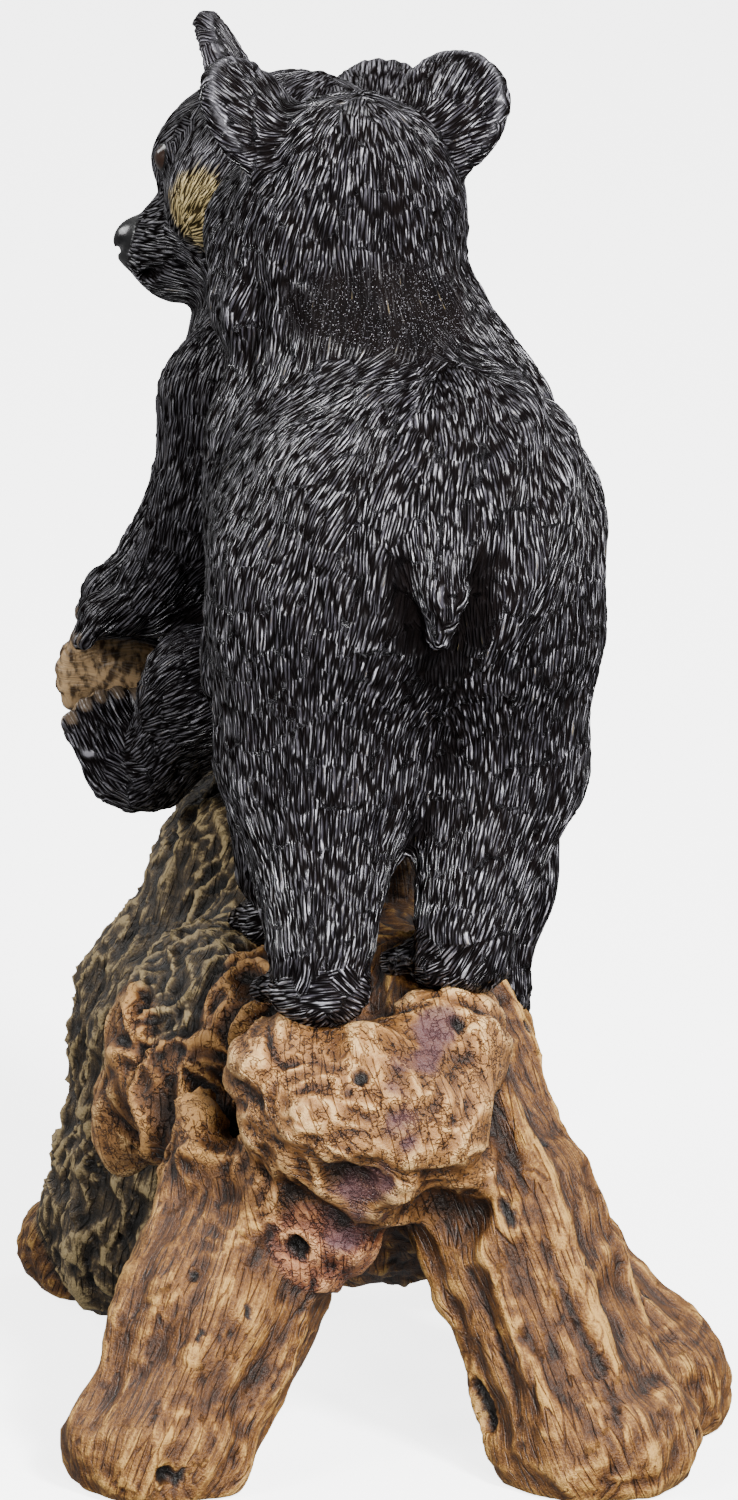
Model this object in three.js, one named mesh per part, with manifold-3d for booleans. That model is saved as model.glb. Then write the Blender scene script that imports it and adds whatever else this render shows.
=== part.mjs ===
// Bear cub sculpture: two black bear cubs on a gnarled tree stump, cast in resin and painted.
// One cub stands on the stump's front burl, the other sits on its back and holds its own hind feet.
// Millimetres, +Z up. +X is to the right of someone who looks at the standing cub's back, and +Y is away
// from them. The origin is on the ground under the middle of the sculpture.
//
// Each piece is a field: a function of x, y, z that is negative inside the form and grows with the
// distance outside it. Fields are blended as clay is, meshed, and thinned where the form is plain.

import * as THREE from 'three';
import { mergeVertices } from 'three/addons/utils/BufferGeometryUtils.js';
import Module from 'manifold-3d';

// Driving dimensions. A cub's own pose and build are drawn at its drawn height and follow its height.
const standingCubHeight = 306; // soles of the hind feet to the crown
const standingCubDrawn = 306;
const sittingCubHeight = 250; // seat to the crown
const sittingCubDrawn = 250;
const burlTop = 160; // where the standing cub's hind feet are, above the ground
const seatTop = 200; // where the sitting cub sits, above the ground
const archHeight = 34; // clear height under the stump's middle
const rootReach = 97; // from the middle to the middle of a front root's foot, towards the viewer
const rootRadius = 36; // a front root's foot
const trunkRadius = 43; // the bark-covered trunk at the back left
const earHeight = 50;
const earThickness = 7;
const fitGap = 0.35; // between two pieces that touch
const pawSink = 2.5; // how far a paw or a seat presses below the wood's highest point under it

// Mesh settings: the sampling step in millimetres and the number of triangles that each piece keeps.
const detail = {
  stump: { step: 4.4, triangles: 3700 },
  standing: { step: 3.8, triangles: 3300 },
  sitting: { step: 3.6, triangles: 2500 },
};

const colours = { fur: 0x17171b, wood: 0x9a7650 };

// Vectors are plain [x, y, z] arrays.
const add = (a, b) => [a[0] + b[0], a[1] + b[1], a[2] + b[2]];
const scaled = (a, k) => [a[0] * k, a[1] * k, a[2] * k];
const dot = (a, b) => a[0] * b[0] + a[1] * b[1] + a[2] * b[2];

// A local frame: an origin and three unit axes, forward, left and up.
class Frame {
  constructor(origin, { yaw = 0, pitch = 0, roll = 0 } = {}) {
    const turn = new THREE.Matrix4().makeRotationFromEuler(
      new THREE.Euler(THREE.MathUtils.degToRad(roll), THREE.MathUtils.degToRad(-pitch),
        THREE.MathUtils.degToRad(yaw), 'ZYX'));
    const axis = (x, y, z) => new THREE.Vector3(x, y, z).transformDirection(turn).toArray();
    this.origin = origin;
    this.forward = axis(1, 0, 0);
    this.left = axis(0, 1, 0);
    this.up = axis(0, 0, 1);
  }

  // A local point in the outer frame.
  point(x, y, z) {
    return add(this.origin, this.direction(x, y, z));
  }

  direction(x, y, z) {
    return add(add(scaled(this.forward, x), scaled(this.left, y)), scaled(this.up, z));
  }
}

// Fields
const ellipsoid = (centre, radii, frame = null) => {
  const [cx, cy, cz] = centre;
  const [rx, ry, rz] = radii;
  const axes = frame ? [frame.forward, frame.left, frame.up] : [[1, 0, 0], [0, 1, 0], [0, 0, 1]];
  const [u, v, w] = axes;
  return (x, y, z) => {
    const dx = x - cx, dy = y - cy, dz = z - cz;
    const a = (dx * u[0] + dy * u[1] + dz * u[2]) / rx;
    const b = (dx * v[0] + dy * v[1] + dz * v[2]) / ry;
    const c = (dx * w[0] + dy * w[1] + dz * w[2]) / rz;
    const near = Math.hypot(a, b, c);
    const slope = Math.hypot(a / rx, b / ry, c / rz);
    return slope < 1e-9 ? -Math.min(rx, ry, rz) : near * (near - 1) / slope;
  };
};

// A limb tapers from radius ra at a to radius rb at b. Flutes run along it, deep and count of them.
const limb = (a, b, ra, rb, { flutes = 0, depth = 0, twist = 0 } = {}) => {
  const along = [b[0] - a[0], b[1] - a[1], b[2] - a[2]];
  const length2 = dot(along, along);
  const unit = scaled(along, 1 / Math.sqrt(length2));
  const side = new THREE.Vector3(...unit).cross(new THREE.Vector3(0.31, 0.94, 0.13)).normalize().toArray();
  const over = new THREE.Vector3(...unit).cross(new THREE.Vector3(...side)).toArray();
  return (x, y, z) => {
    const dx = x - a[0], dy = y - a[1], dz = z - a[2];
    const t = Math.min(1, Math.max(0, (dx * along[0] + dy * along[1] + dz * along[2]) / length2));
    const ex = dx - along[0] * t, ey = dy - along[1] * t, ez = dz - along[2] * t;
    let radius = ra + (rb - ra) * t;
    if (flutes) {
      const turn = Math.atan2(ex * side[0] + ey * side[1] + ez * side[2],
        ex * over[0] + ey * over[1] + ez * over[2]);
      radius += depth * Math.sin(flutes * turn + twist * t);
      radius += 0.5 * depth * Math.sin((flutes * 2 - 1) * turn + 1.3 - twist * t);
    }
    return Math.hypot(ex, ey, ez) - radius;
  };
};

// A round dish: a plate of even thickness with a round rim, which stands forward of its middle by the cup.
const dish = (centre, [wide, tall], thickness, cup, frame) => {
  const [cx, cy, cz] = centre;
  const { forward: u, left: v, up: w } = frame;
  const edge = thickness / 2;
  return (x, y, z) => {
    const dx = x - cx, dy = y - cy, dz = z - cz;
    const b = dx * v[0] + dy * v[1] + dz * v[2];
    const c = dx * w[0] + dy * w[1] + dz * w[2];
    const across = Math.hypot(b / (wide - edge), c / (tall - edge));
    const a = dx * u[0] + dy * u[1] + dz * u[2] - cup * Math.min(across * across, 1.5);
    const over = across > 1 ? Math.hypot(b, c) * (1 - 1 / across) : 0;
    return Math.hypot(a, over) - edge;
  };
};

// Long locks of fur: ridges that run along an axis through the centre, wander to one side and back, and
// fade out where the axis comes through the surface.
const lockReach = 38; // from the axis to where the locks have their full depth
const withLocks = (body, { centre, axis, count, depth, wander = 0.5 }) => {
  const along = new THREE.Vector3(...axis).normalize();
  const side = along.clone().cross(new THREE.Vector3(0.31, 0.22, 0.93)).normalize();
  const over = along.clone().cross(side);
  return (x, y, z) => {
    const dx = x - centre[0], dy = y - centre[1], dz = z - centre[2];
    const t = (dx * along.x + dy * along.y + dz * along.z) / 20;
    const a = dx * side.x + dy * side.y + dz * side.z;
    const b = dx * over.x + dy * over.y + dz * over.z;
    const turn = Math.atan2(a, b);
    const fade = Math.min(1, (a * a + b * b) / (lockReach * lockReach));
    const wave = Math.sin(count * turn + 0.4 * wander * count * Math.sin(0.7 * t + 2 * turn));
    return body(x, y, z) - depth * fade * wave;
  };
};

// Joins fields with a fillet of about the given size.
const blend = (soft, ...fields) => (x, y, z) => {
  let d = fields[0](x, y, z);
  for (let i = 1; i < fields.length; i += 1) {
    const e = fields[i](x, y, z);
    const h = Math.max(soft - Math.abs(d - e), 0) / soft;
    d = Math.min(d, e) - h * h * soft * 0.25;
  }
  return d;
};

// Takes the cutters out of a body, with a rounded edge.
const carve = (soft, body, ...cutters) => (x, y, z) => {
  let d = body(x, y, z);
  for (const cutter of cutters) {
    const e = -cutter(x, y, z);
    const h = Math.max(soft - Math.abs(d - e), 0) / soft;
    d = Math.max(d, e) + h * h * soft * 0.25;
  }
  return d;
};

// The highest point of a field's surface over (x, y), searched downwards from a height.
function topOf(field, x, y, from) {
  let z = from;
  while (z > 0 && field(x, y, z) > 0) z -= Math.max(0.25, 0.5 * field(x, y, z));
  return z;
}

// The tree stump: a burl in front, a seat and a bark-covered trunk behind, on five root feet.
function stumpField() {
  const burl = blend(9,
    ellipsoid([-1, -90, burlTop - 32], [43, 34, 32]),
    ellipsoid([27, -74, burlTop - 12], [21, 20, 20]),
    ellipsoid([-28, -84, burlTop - 16], [20, 22, 17]),
    ellipsoid([-17, -82, burlTop - 76], [19, 19, 18]),
    ellipsoid([12, -88, burlTop - 56], [24, 22, 18]));
  const core = blend(26,
    ellipsoid([0, 20, archHeight + 61], [60, 75, 61]),
    ellipsoid([-4, -4, burlTop - 36], [52, 54, 44]),
    ellipsoid([-48, 22, seatTop - 82], [40, 44, 42]),
    ellipsoid([-22, 92, seatTop - 42], [50, 48, 42]),
    ellipsoid([14, 62, seatTop - 46], [36, 34, 44]));
  const bark = { flutes: 9, depth: 1.6, twist: 1 };
  const trunk = blend(20,
    limb([-37, 92, seatTop - 38], [-57, 88, 107], 31, trunkRadius - 2, bark),
    limb([-57, 88, 107], [-70, 90, 34], trunkRadius - 2, trunkRadius - 1, bark));
  const frontRight = blend(16,
    limb([22, -36, burlTop - 14], [50, -68, 82], 26, 28, { flutes: 7, depth: 2.4, twist: 1.5 }),
    limb([48, -68, 82], [74, -rootReach + 4, 18], 29, rootRadius - 5, { flutes: 7, depth: 2.6, twist: 1 }),
    ellipsoid([79, -rootReach, 13], [rootRadius - 4, rootRadius - 2, 25]));
  const frontLeft = blend(14,
    limb([-30, -40, 100], [-53, -78, 50], 35, 31, { flutes: 6, depth: 2.4, twist: 1.2 }),
    limb([-53, -78, 50], [-69, -rootReach - 1, 14], 32, rootRadius - 6, { flutes: 6, depth: 2, twist: 1 }),
    ellipsoid([-73, -rootReach - 4, 13], [rootRadius - 5, rootRadius - 5, 23]));
  const right = blend(14,
    limb([32, -8, 88], [90, -37, 24], 25, 22, { flutes: 6, depth: 2.2, twist: 1 }),
    ellipsoid([97, -41, 13], [28, 31, 28]));
  const backLeft = blend(12,
    limb([-62, 92, 46], [-98, 112, 14], 34, 18, { flutes: 5, depth: 1.8 }),
    ellipsoid([-100, 113, 16], [27, 21, 20]));
  const backRight = blend(14,
    limb([20, 62, 84], [50, 98, 22], 35, 26, { flutes: 6, depth: 2.2, twist: 1 }),
    ellipsoid([55, 102, 12], [31, 28, 22]));
  const shelves = blend(6,
    ellipsoid([-74, 6, 118], [17, 20, 24]),
    ellipsoid([-62, -18, 104], [14, 15, 24]),
    ellipsoid([-82, 20, 92], [14, 18, 20]),
    limb([-58, -58, 106], [-28, -84, 92], 8, 10));
  const rooted = blend(18, core, trunk, frontRight, frontLeft, right, backLeft, backRight);
  const wood = blend(12, rooted, burl, shelves);
  const hollows = [
    ellipsoid([-46, -50, 122], [11, 22, 22]),
    ellipsoid([-40, 2, 168], [12, 26, 10]),
    ellipsoid([26, -104, 92], [16, 18, 12]),
    ellipsoid([-4, -118, 112], [12, 10, 9]),
  ];
  const archWay = ellipsoid([0, 10, -8], [40, 190, archHeight + 8]);
  const ground = (x, y, z) => -z;
  const carved = carve(10, carve(8, wood, ...hollows), archWay);
  const { sin } = Math;
  const broadKnots = (x, y, z) => sin(x * 0.14 + 1.7 * sin(z * 0.05)) * sin(y * 0.12 + z * 0.07);
  const smallKnots = (x, y, z) => sin(z * 0.23 + 1.3 * sin(x * 0.11)) * sin(x * 0.17 - y * 0.15);
  const knots = (x, y, z) => 1.1 * broadKnots(x, y, z) + 0.7 * smallKnots(x, y, z);
  return (x, y, z) => Math.max(carved(x, y, z) + knots(x, y, z), ground(x, y, z));
}

// A cub's head in its own frame: forward is the nose's way, and the origin is the middle of the skull.
function headField(frame, size, { earSpread, earTilt }) {
  const at = (x, y, z) => frame.point(x * size, y * size, z * size);
  const lump = (x, y, z, rx, ry, rz) => ellipsoid(at(x, y, z), [rx * size, ry * size, rz * size], frame);
  const both = (make) => [make(1), make(-1)];
  const skull = blend(12,
    lump(-2, 0, 0, 40, 37, 34.5),
    ...both((s) => lump(8, s * 20.5, -10, 27, 20, 20)),
    limb(at(20, 0, -2), at(60, 0, -11.5), 23.5 * size, 15 * size),
    lump(22, 0, 15, 25, 27, 23),
    limb(at(18, 0, -19), at(56, 0, -23), 14 * size, 8 * size),
    ...both((s) => lump(32, s * 17, 12, 10, 8, 7)));
  const nose = lump(70, 0, -8, 8, 12, 9);
  const nostrils = both((s) => limb(at(77, s * 4.5, -8), at(67, s * 13.5, -11), 2.2 * size, 1.1 * size));
  const eyes = both((s) => lump(31, s * 27.5, 8.7, 4.6, 4.6, 4.4));
  const mouth = both((s) => limb(at(64, s * 9, -22), at(36, s * 19, -27), 1.6 * size, 2 * size));
  const ears = [1, -1].map((side, i) => earField(frame, size, side, earSpread[i], earTilt[i]));
  const face = carve(2, blend(3, skull, nose), ...nostrils, ...mouth);
  return blend(5, blend(1.5, face, ...eyes), ...ears);
}

// One ear, a round dish: side is 1 on the left and -1 on the right, and tilt leans it outwards.
function earField(frame, size, side, spread, tilt) {
  const lean = THREE.MathUtils.degToRad(34 + tilt);
  const open = THREE.MathUtils.degToRad(30);
  const outward = [0, side * Math.sin(lean), Math.cos(lean)]; // from the root to the ear's tip
  const facing = [Math.cos(open), side * Math.sin(open) * Math.cos(lean), -Math.sin(open) * Math.sin(lean)];
  const up = frame.direction(...outward);
  const forward = frame.direction(...facing);
  const across = new THREE.Vector3(...up).cross(new THREE.Vector3(...forward)).normalize().toArray();
  const half = earHeight * 0.5 * size;
  const root = frame.point(-13 * size, side * spread * size, 9 * size);
  const middle = add(root, scaled(up, half * 0.76));
  const cup = dish(middle, [half * 0.86, half], earThickness * size, earThickness * size * 0.6,
    { forward, left: across, up });
  const foot = limb(add(root, scaled(up, -half * 0.4)), middle, 11 * size, 4 * size);
  return blend(5, cup, foot);
}

// A paw: a pad with five toes in a row, pointing along its frame's forward axis, its sole facing down.
function pawField(frame, { length, width, height }) {
  const at = (x, y, z) => frame.point(x, y, z);
  const toe = width / 7.4; // a toe's radius
  const toes = [-2, -1, 0, 1, 2].map((place) => {
    const across = place * toe * 1.42;
    const reach = length * 0.44 - place ** 2 * toe * 0.22;
    return limb(at(length * 0.12, across * 0.86, 0), at(reach, across, -height * 0.2), toe * 1.1, toe);
  });
  const pad = ellipsoid(at(-length * 0.06, 0, 0), [length * 0.42, width * 0.47, height * 0.5], frame);
  return blend(2.2, pad, ...toes);
}

const furLocks = { flutes: 5, depth: 0.6, twist: 1.2 };

// The standing cub, seen from behind: hind feet on the burl, forefeet further back on the stump.
function standingField(wood) {
  const k = standingCubHeight / standingCubDrawn;
  const foot = [8, -78, burlTop]; // between the hind feet
  const at = (x, y, z) => add(foot, scaled([x - 8, y + 78, z - 160], k));
  const flesh = (a, b, ra, rb) => limb(a, b, ra * k, rb * k, furLocks);
  const mass = (x, y, z, rx, ry, rz, frame = null) => ellipsoid(at(x, y, z), [rx * k, ry * k, rz * k], frame);
  const onWood = (x, y, lift) => {
    const [px, py] = at(x, y, 0);
    return [px, py, topOf(wood, px, py, burlTop + 60) + lift * k - pawSink];
  };
  const leaning = new Frame(at(0, 0, 0), { yaw: 90, pitch: 38 });

  const haunches = blend(20 * k, mass(10, -46, 315, 63, 54, 58), mass(39, -44, 319, 38.5, 49, 56));
  const neck = blend(8 * k,
    flesh(at(3, 12, 362), at(-9.5, 12, 404), 43, 36.5),
    mass(-38, 12, 388, 17, 20, 22),
    mass(-37, 24, 409, 19, 20, 21));
  const torso = blend(20 * k,
    withLocks(haunches, { centre: at(14, -46, 316), axis: [0, 0.75, 0.66], count: 13, depth: 1.2 * k }),
    mass(2, -8, 318, 53, 56, 50),
    mass(2, 12, 350, 46, 42, 42, leaning),
    withLocks(neck, { centre: at(-4, 12, 380), axis: [-0.2, 0, 1], count: 11, depth: 1.1 * k }));

  const hindLeft = onWood(-16, -84, 14);
  const hindRight = onWood(34, -68, 14);
  const foreLeft = onWood(-32, 8, 10);
  const foreRight = add(at(43, 2, 0), [0, 0, at(0, 0, 142)[2] - at(0, 0, 0)[2]]);
  const ankle = (paw, x, y, z) => add(paw, scaled([x, y, z], k));

  const legs = blend(15 * k,
    torso,
    blend(14 * k, flesh(at(-14, -52, 290), at(-15, -50, 246), 41, 36),
      flesh(at(-16, -48, 240), ankle(hindLeft, 0, 4, 14), 32, 18.5)),
    blend(14 * k, flesh(at(46, -46, 284), at(46.5, -42, 242), 34, 27),
      flesh(at(46, -42, 236), ankle(hindRight, 0, 2, 12), 26, 18)),
    blend(12 * k, flesh(at(-30, 8, 340), at(-37, -2, 262), 26, 18),
      flesh(at(-37, -2, 262), ankle(foreLeft, 0, -4, 18), 18, 13.5)),
    blend(12 * k, flesh(at(36, 14, 342), at(55, 4, 240), 29, 18),
      flesh(at(55, 4, 240), at(50, 4, 182), 18, 12.5),
      flesh(at(50, 4, 182), foreRight, 12.5, 10)));

  const hindPaw = { length: 50 * k, width: 37 * k, height: 24 * k };
  const forePaw = { length: 36 * k, width: 30 * k, height: 20 * k };
  const paws = [
    pawField(new Frame(add(hindLeft, [-2 * k, 6 * k, -3 * k]), { yaw: 104 }), hindPaw),
    pawField(new Frame(add(hindRight, [-5 * k, 9 * k, -3 * k]), { yaw: 118 }), hindPaw),
    pawField(new Frame(add(foreLeft, [0, 5 * k, -1 * k]), { yaw: 100 }), forePaw),
    pawField(new Frame(add(foreRight, [-1 * k, 6 * k, -2 * k]), { yaw: 95, pitch: -52 }), forePaw),
  ];
  const tail = blend(4, flesh(at(24, -93, 334), at(25, -101, 314), 7.5, 6),
    flesh(at(25, -101, 314), at(24, -101, 299), 6, 3.2));
  const creases = [
    flesh(at(12, -103, 326), at(17, -103, 298), 2, 4),
    flesh(at(36, -101, 326), at(32, -102, 298), 2, 4),
    flesh(at(24.5, -103, 294), at(21, -90, 250), 5, 5),
  ];
  const head = headField(new Frame(at(-7, 16, 424), { yaw: 107, pitch: -30, roll: 2 }), k,
    { earSpread: [22, 25], earTilt: [-7, -7] });
  const rump = blend(3 * k, carve(5 * k, legs, ...creases), tail);
  return blend(10 * k, blend(7 * k, rump, ...paws), head);
}

// The sitting cub faces left, holds its hind feet sole to sole, and looks over its shoulder, away.
function sittingField(wood) {
  const k = sittingCubHeight / sittingCubDrawn;
  const drawnSeat = 200;
  const seat = [-28, 106, Math.max(seatTop, topOf(wood, -28, 106, seatTop + 40)) - pawSink];
  const at = (x, y, z) => add(seat, scaled([x + 28, y - 106, z - drawnSeat], k));
  const flesh = (a, b, ra, rb) => limb(at(...a), at(...b), ra * k, rb * k, furLocks);
  const mass = (x, y, z, rx, ry, rz, frame = null) => ellipsoid(at(x, y, z), [rx * k, ry * k, rz * k], frame);

  const torso = blend(22 * k,
    withLocks(blend(22 * k, mass(-16, 107, 240, 51, 51, 44), mass(-22, 107, 288, 43, 46, 50)),
      { centre: at(-18, 107, 260), axis: [0, 0, 1], count: 12, depth: 1.1 * k }),
    mass(-22, 110, 336, 38, 43, 40),
    flesh([-18, 111, 350], [-26, 114, 398], 34, 31));
  const legs = blend(10 * k,
    flesh([-20, 78, 232], [-58, 60, 238], 30, 20), // near thigh and knee
    flesh([-58, 60, 236], [-76, 78, 202], 20, 13), // near shin
    flesh([-20, 134, 232], [-58, 149, 238], 30, 20),
    flesh([-58, 149, 236], [-71, 126, 218], 20, 12));
  const arms = blend(10 * k,
    flesh([-48, 84, 336], [-53, 77, 300], 26, 21),
    flesh([-53, 77, 300], [-80, 84, 262], 20, 11.5),
    flesh([-38, 136, 344], [-53, 136, 297], 25, 20.5),
    flesh([-53, 136, 297], [-82, 120, 262], 19.5, 11));
  const hand = { length: 26 * k, width: 24 * k, height: 17 * k };
  const sole = { length: 44 * k, width: 32 * k, height: 18 * k };
  // The near foot has its toes up, and the far foot shows its sole to the viewer.
  const paws = [
    pawField(new Frame(at(-93, 85, 258), { yaw: 180, pitch: -28 }), hand),
    pawField(new Frame(at(-92.5, 118, 258), { yaw: 190, pitch: -30 }), hand),
    pawField(new Frame(at(-87, 80, 209), { yaw: 180, pitch: 72, roll: -78 }), sole),
    pawField(new Frame(at(-87, 103, 233), { yaw: 180, pitch: 8, roll: 74 }), sole),
  ];
  const head = headField(new Frame(at(-28.5, 114, 411), { yaw: 143, pitch: -24, roll: 21 }), k,
    { earSpread: [26, 32], earTilt: [-9, -5] });
  return blend(9 * k, blend(5 * k, blend(14 * k, torso, blend(12 * k, legs, arms)), ...paws), head);
}

// A mesh is { points, corners }: three numbers for each vertex and three vertex numbers for each triangle.

// Marching over tetrahedra always closes the surface. A cube's corner number has a bit for each axis, and
// every tetrahedron runs from corner 0 to corner 7, with its corners in right-handed order.
const TETRAHEDRA = [[0, 1, 3, 7], [0, 3, 2, 7], [0, 2, 6, 7], [0, 6, 4, 7], [0, 4, 5, 7], [0, 5, 1, 7]];
const ONE_INSIDE = [[0, 1, 2, 3], [1, 0, 3, 2], [2, 3, 0, 1], [3, 2, 1, 0]];
const TWO_INSIDE = [[0, 1, 2, 3], [0, 2, 3, 1], [0, 3, 1, 2], [1, 2, 0, 3], [1, 3, 2, 0], [2, 3, 0, 1]];
const BLOCK = 5; // samples along a block's edge, which is skipped where its middle is far from the surface

// For each set of inside corners, the cut's triangles as pairs of a tetrahedron's corners.
function cutTriangles() {
  const cuts = Array.from({ length: 16 }, () => []);
  for (const [a, b, c, d] of ONE_INSIDE) {
    cuts[1 << a].push([[a, b], [a, c], [a, d]]);
    cuts[15 - (1 << a)].push([[a, b], [a, d], [a, c]]);
  }
  for (const [a, b, c, d] of TWO_INSIDE) {
    cuts[(1 << a) + (1 << b)].push([[a, c], [a, d], [b, d]], [[a, c], [b, d], [b, c]]);
  }
  return cuts;
}

function sampleField(field, low, [nx, ny, nz], step) {
  const values = new Float32Array(nx * ny * nz);
  const farAway = BLOCK * step * 1.2;
  const half = (BLOCK - 1) / 2;
  for (let k = 0; k < nz; k += BLOCK) {
    for (let j = 0; j < ny; j += BLOCK) {
      for (let i = 0; i < nx; i += BLOCK) {
        const [x, y, z] = [i, j, k].map((place, axis) => low[axis] + step * (place + half));
        const middle = field(x, y, z);
        const plain = Math.abs(middle) > farAway;
        for (let c = k; c < Math.min(k + BLOCK, nz); c += 1) {
          for (let b = j; b < Math.min(j + BLOCK, ny); b += 1) {
            for (let a = i; a < Math.min(i + BLOCK, nx); a += 1) {
              values[a + nx * (b + ny * c)] = plain ? middle
                : field(low[0] + step * a, low[1] + step * b, low[2] + step * c) || 1e-6;
            }
          }
        }
      }
    }
  }
  return values;
}

function meshField(field, low, high, step) {
  const count = low.map((l, i) => Math.ceil((high[i] - l) / step) + 1);
  const [nx, ny, nz] = count;
  const values = sampleField(field, low, count, step);
  const cornerOffset = (c) => (c & 1) + nx * ((c >> 1) & 1) + nx * ny * ((c >> 2) & 1);
  const offsets = [0, 1, 2, 3, 4, 5, 6, 7].map(cornerOffset);
  const cuts = cutTriangles();
  const points = [];
  const corners = [];
  const known = new Map();
  // The vertex on the edge between two corners of the cube at base, one inside and one outside.
  const crossing = (base, c, d) => {
    const lower = base + offsets[Math.min(c, d)];
    const way = c ^ d; // the axes that the edge runs along, as bits
    const key = lower * 8 + way;
    let found = known.get(key);
    if (found === undefined) {
      const upper = base + offsets[Math.max(c, d)];
      const t = Math.min(0.97, Math.max(0.03, values[lower] / (values[lower] - values[upper]))) * step;
      found = points.length / 3;
      points.push(
        low[0] + step * (lower % nx) + (way & 1 ? t : 0),
        low[1] + step * (Math.floor(lower / nx) % ny) + (way & 2 ? t : 0),
        low[2] + step * Math.floor(lower / (nx * ny)) + (way & 4 ? t : 0));
      known.set(key, found);
    }
    return found;
  };
  for (let k = 0; k < nz - 1; k += 1) {
    for (let j = 0; j < ny - 1; j += 1) {
      for (let i = 0; i < nx - 1; i += 1) {
        const base = i + nx * (j + ny * k);
        let within = 0;
        for (let c = 0; c < 8; c += 1) if (values[base + offsets[c]] < 0) within += 1;
        if (within === 0 || within === 8) continue;
        for (const tet of TETRAHEDRA) {
          let inside = 0;
          for (let c = 0; c < 4; c += 1) if (values[base + offsets[tet[c]]] < 0) inside += 1 << c;
          for (const triangle of cuts[inside]) {
            for (const [c, d] of triangle) corners.push(crossing(base, tet[c], tet[d]));
          }
        }
      }
    }
  }
  return { points, corners };
}

// A queue whose cheapest entry comes out first.
class Queue {
  constructor() {
    this.costs = [];
    this.items = [];
  }

  push(cost, item) {
    const { costs, items } = this;
    let i = costs.length;
    while (i > 0) {
      const parent = (i - 1) >> 1;
      if (costs[parent] <= cost) break;
      costs[i] = costs[parent];
      items[i] = items[parent];
      i = parent;
    }
    costs[i] = cost;
    items[i] = item;
  }

  pop() {
    const { costs, items } = this;
    const top = items[0];
    const cost = costs.pop();
    const item = items.pop();
    const size = costs.length;
    let i = 0;
    while (size) {
      let child = 2 * i + 1;
      if (child + 1 < size && costs[child + 1] < costs[child]) child += 1;
      if (child >= size || costs[child] >= cost) break;
      costs[i] = costs[child];
      items[i] = items[child];
      i = child;
    }
    if (size) {
      costs[i] = cost;
      items[i] = item;
    }
    return top;
  }
}

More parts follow.
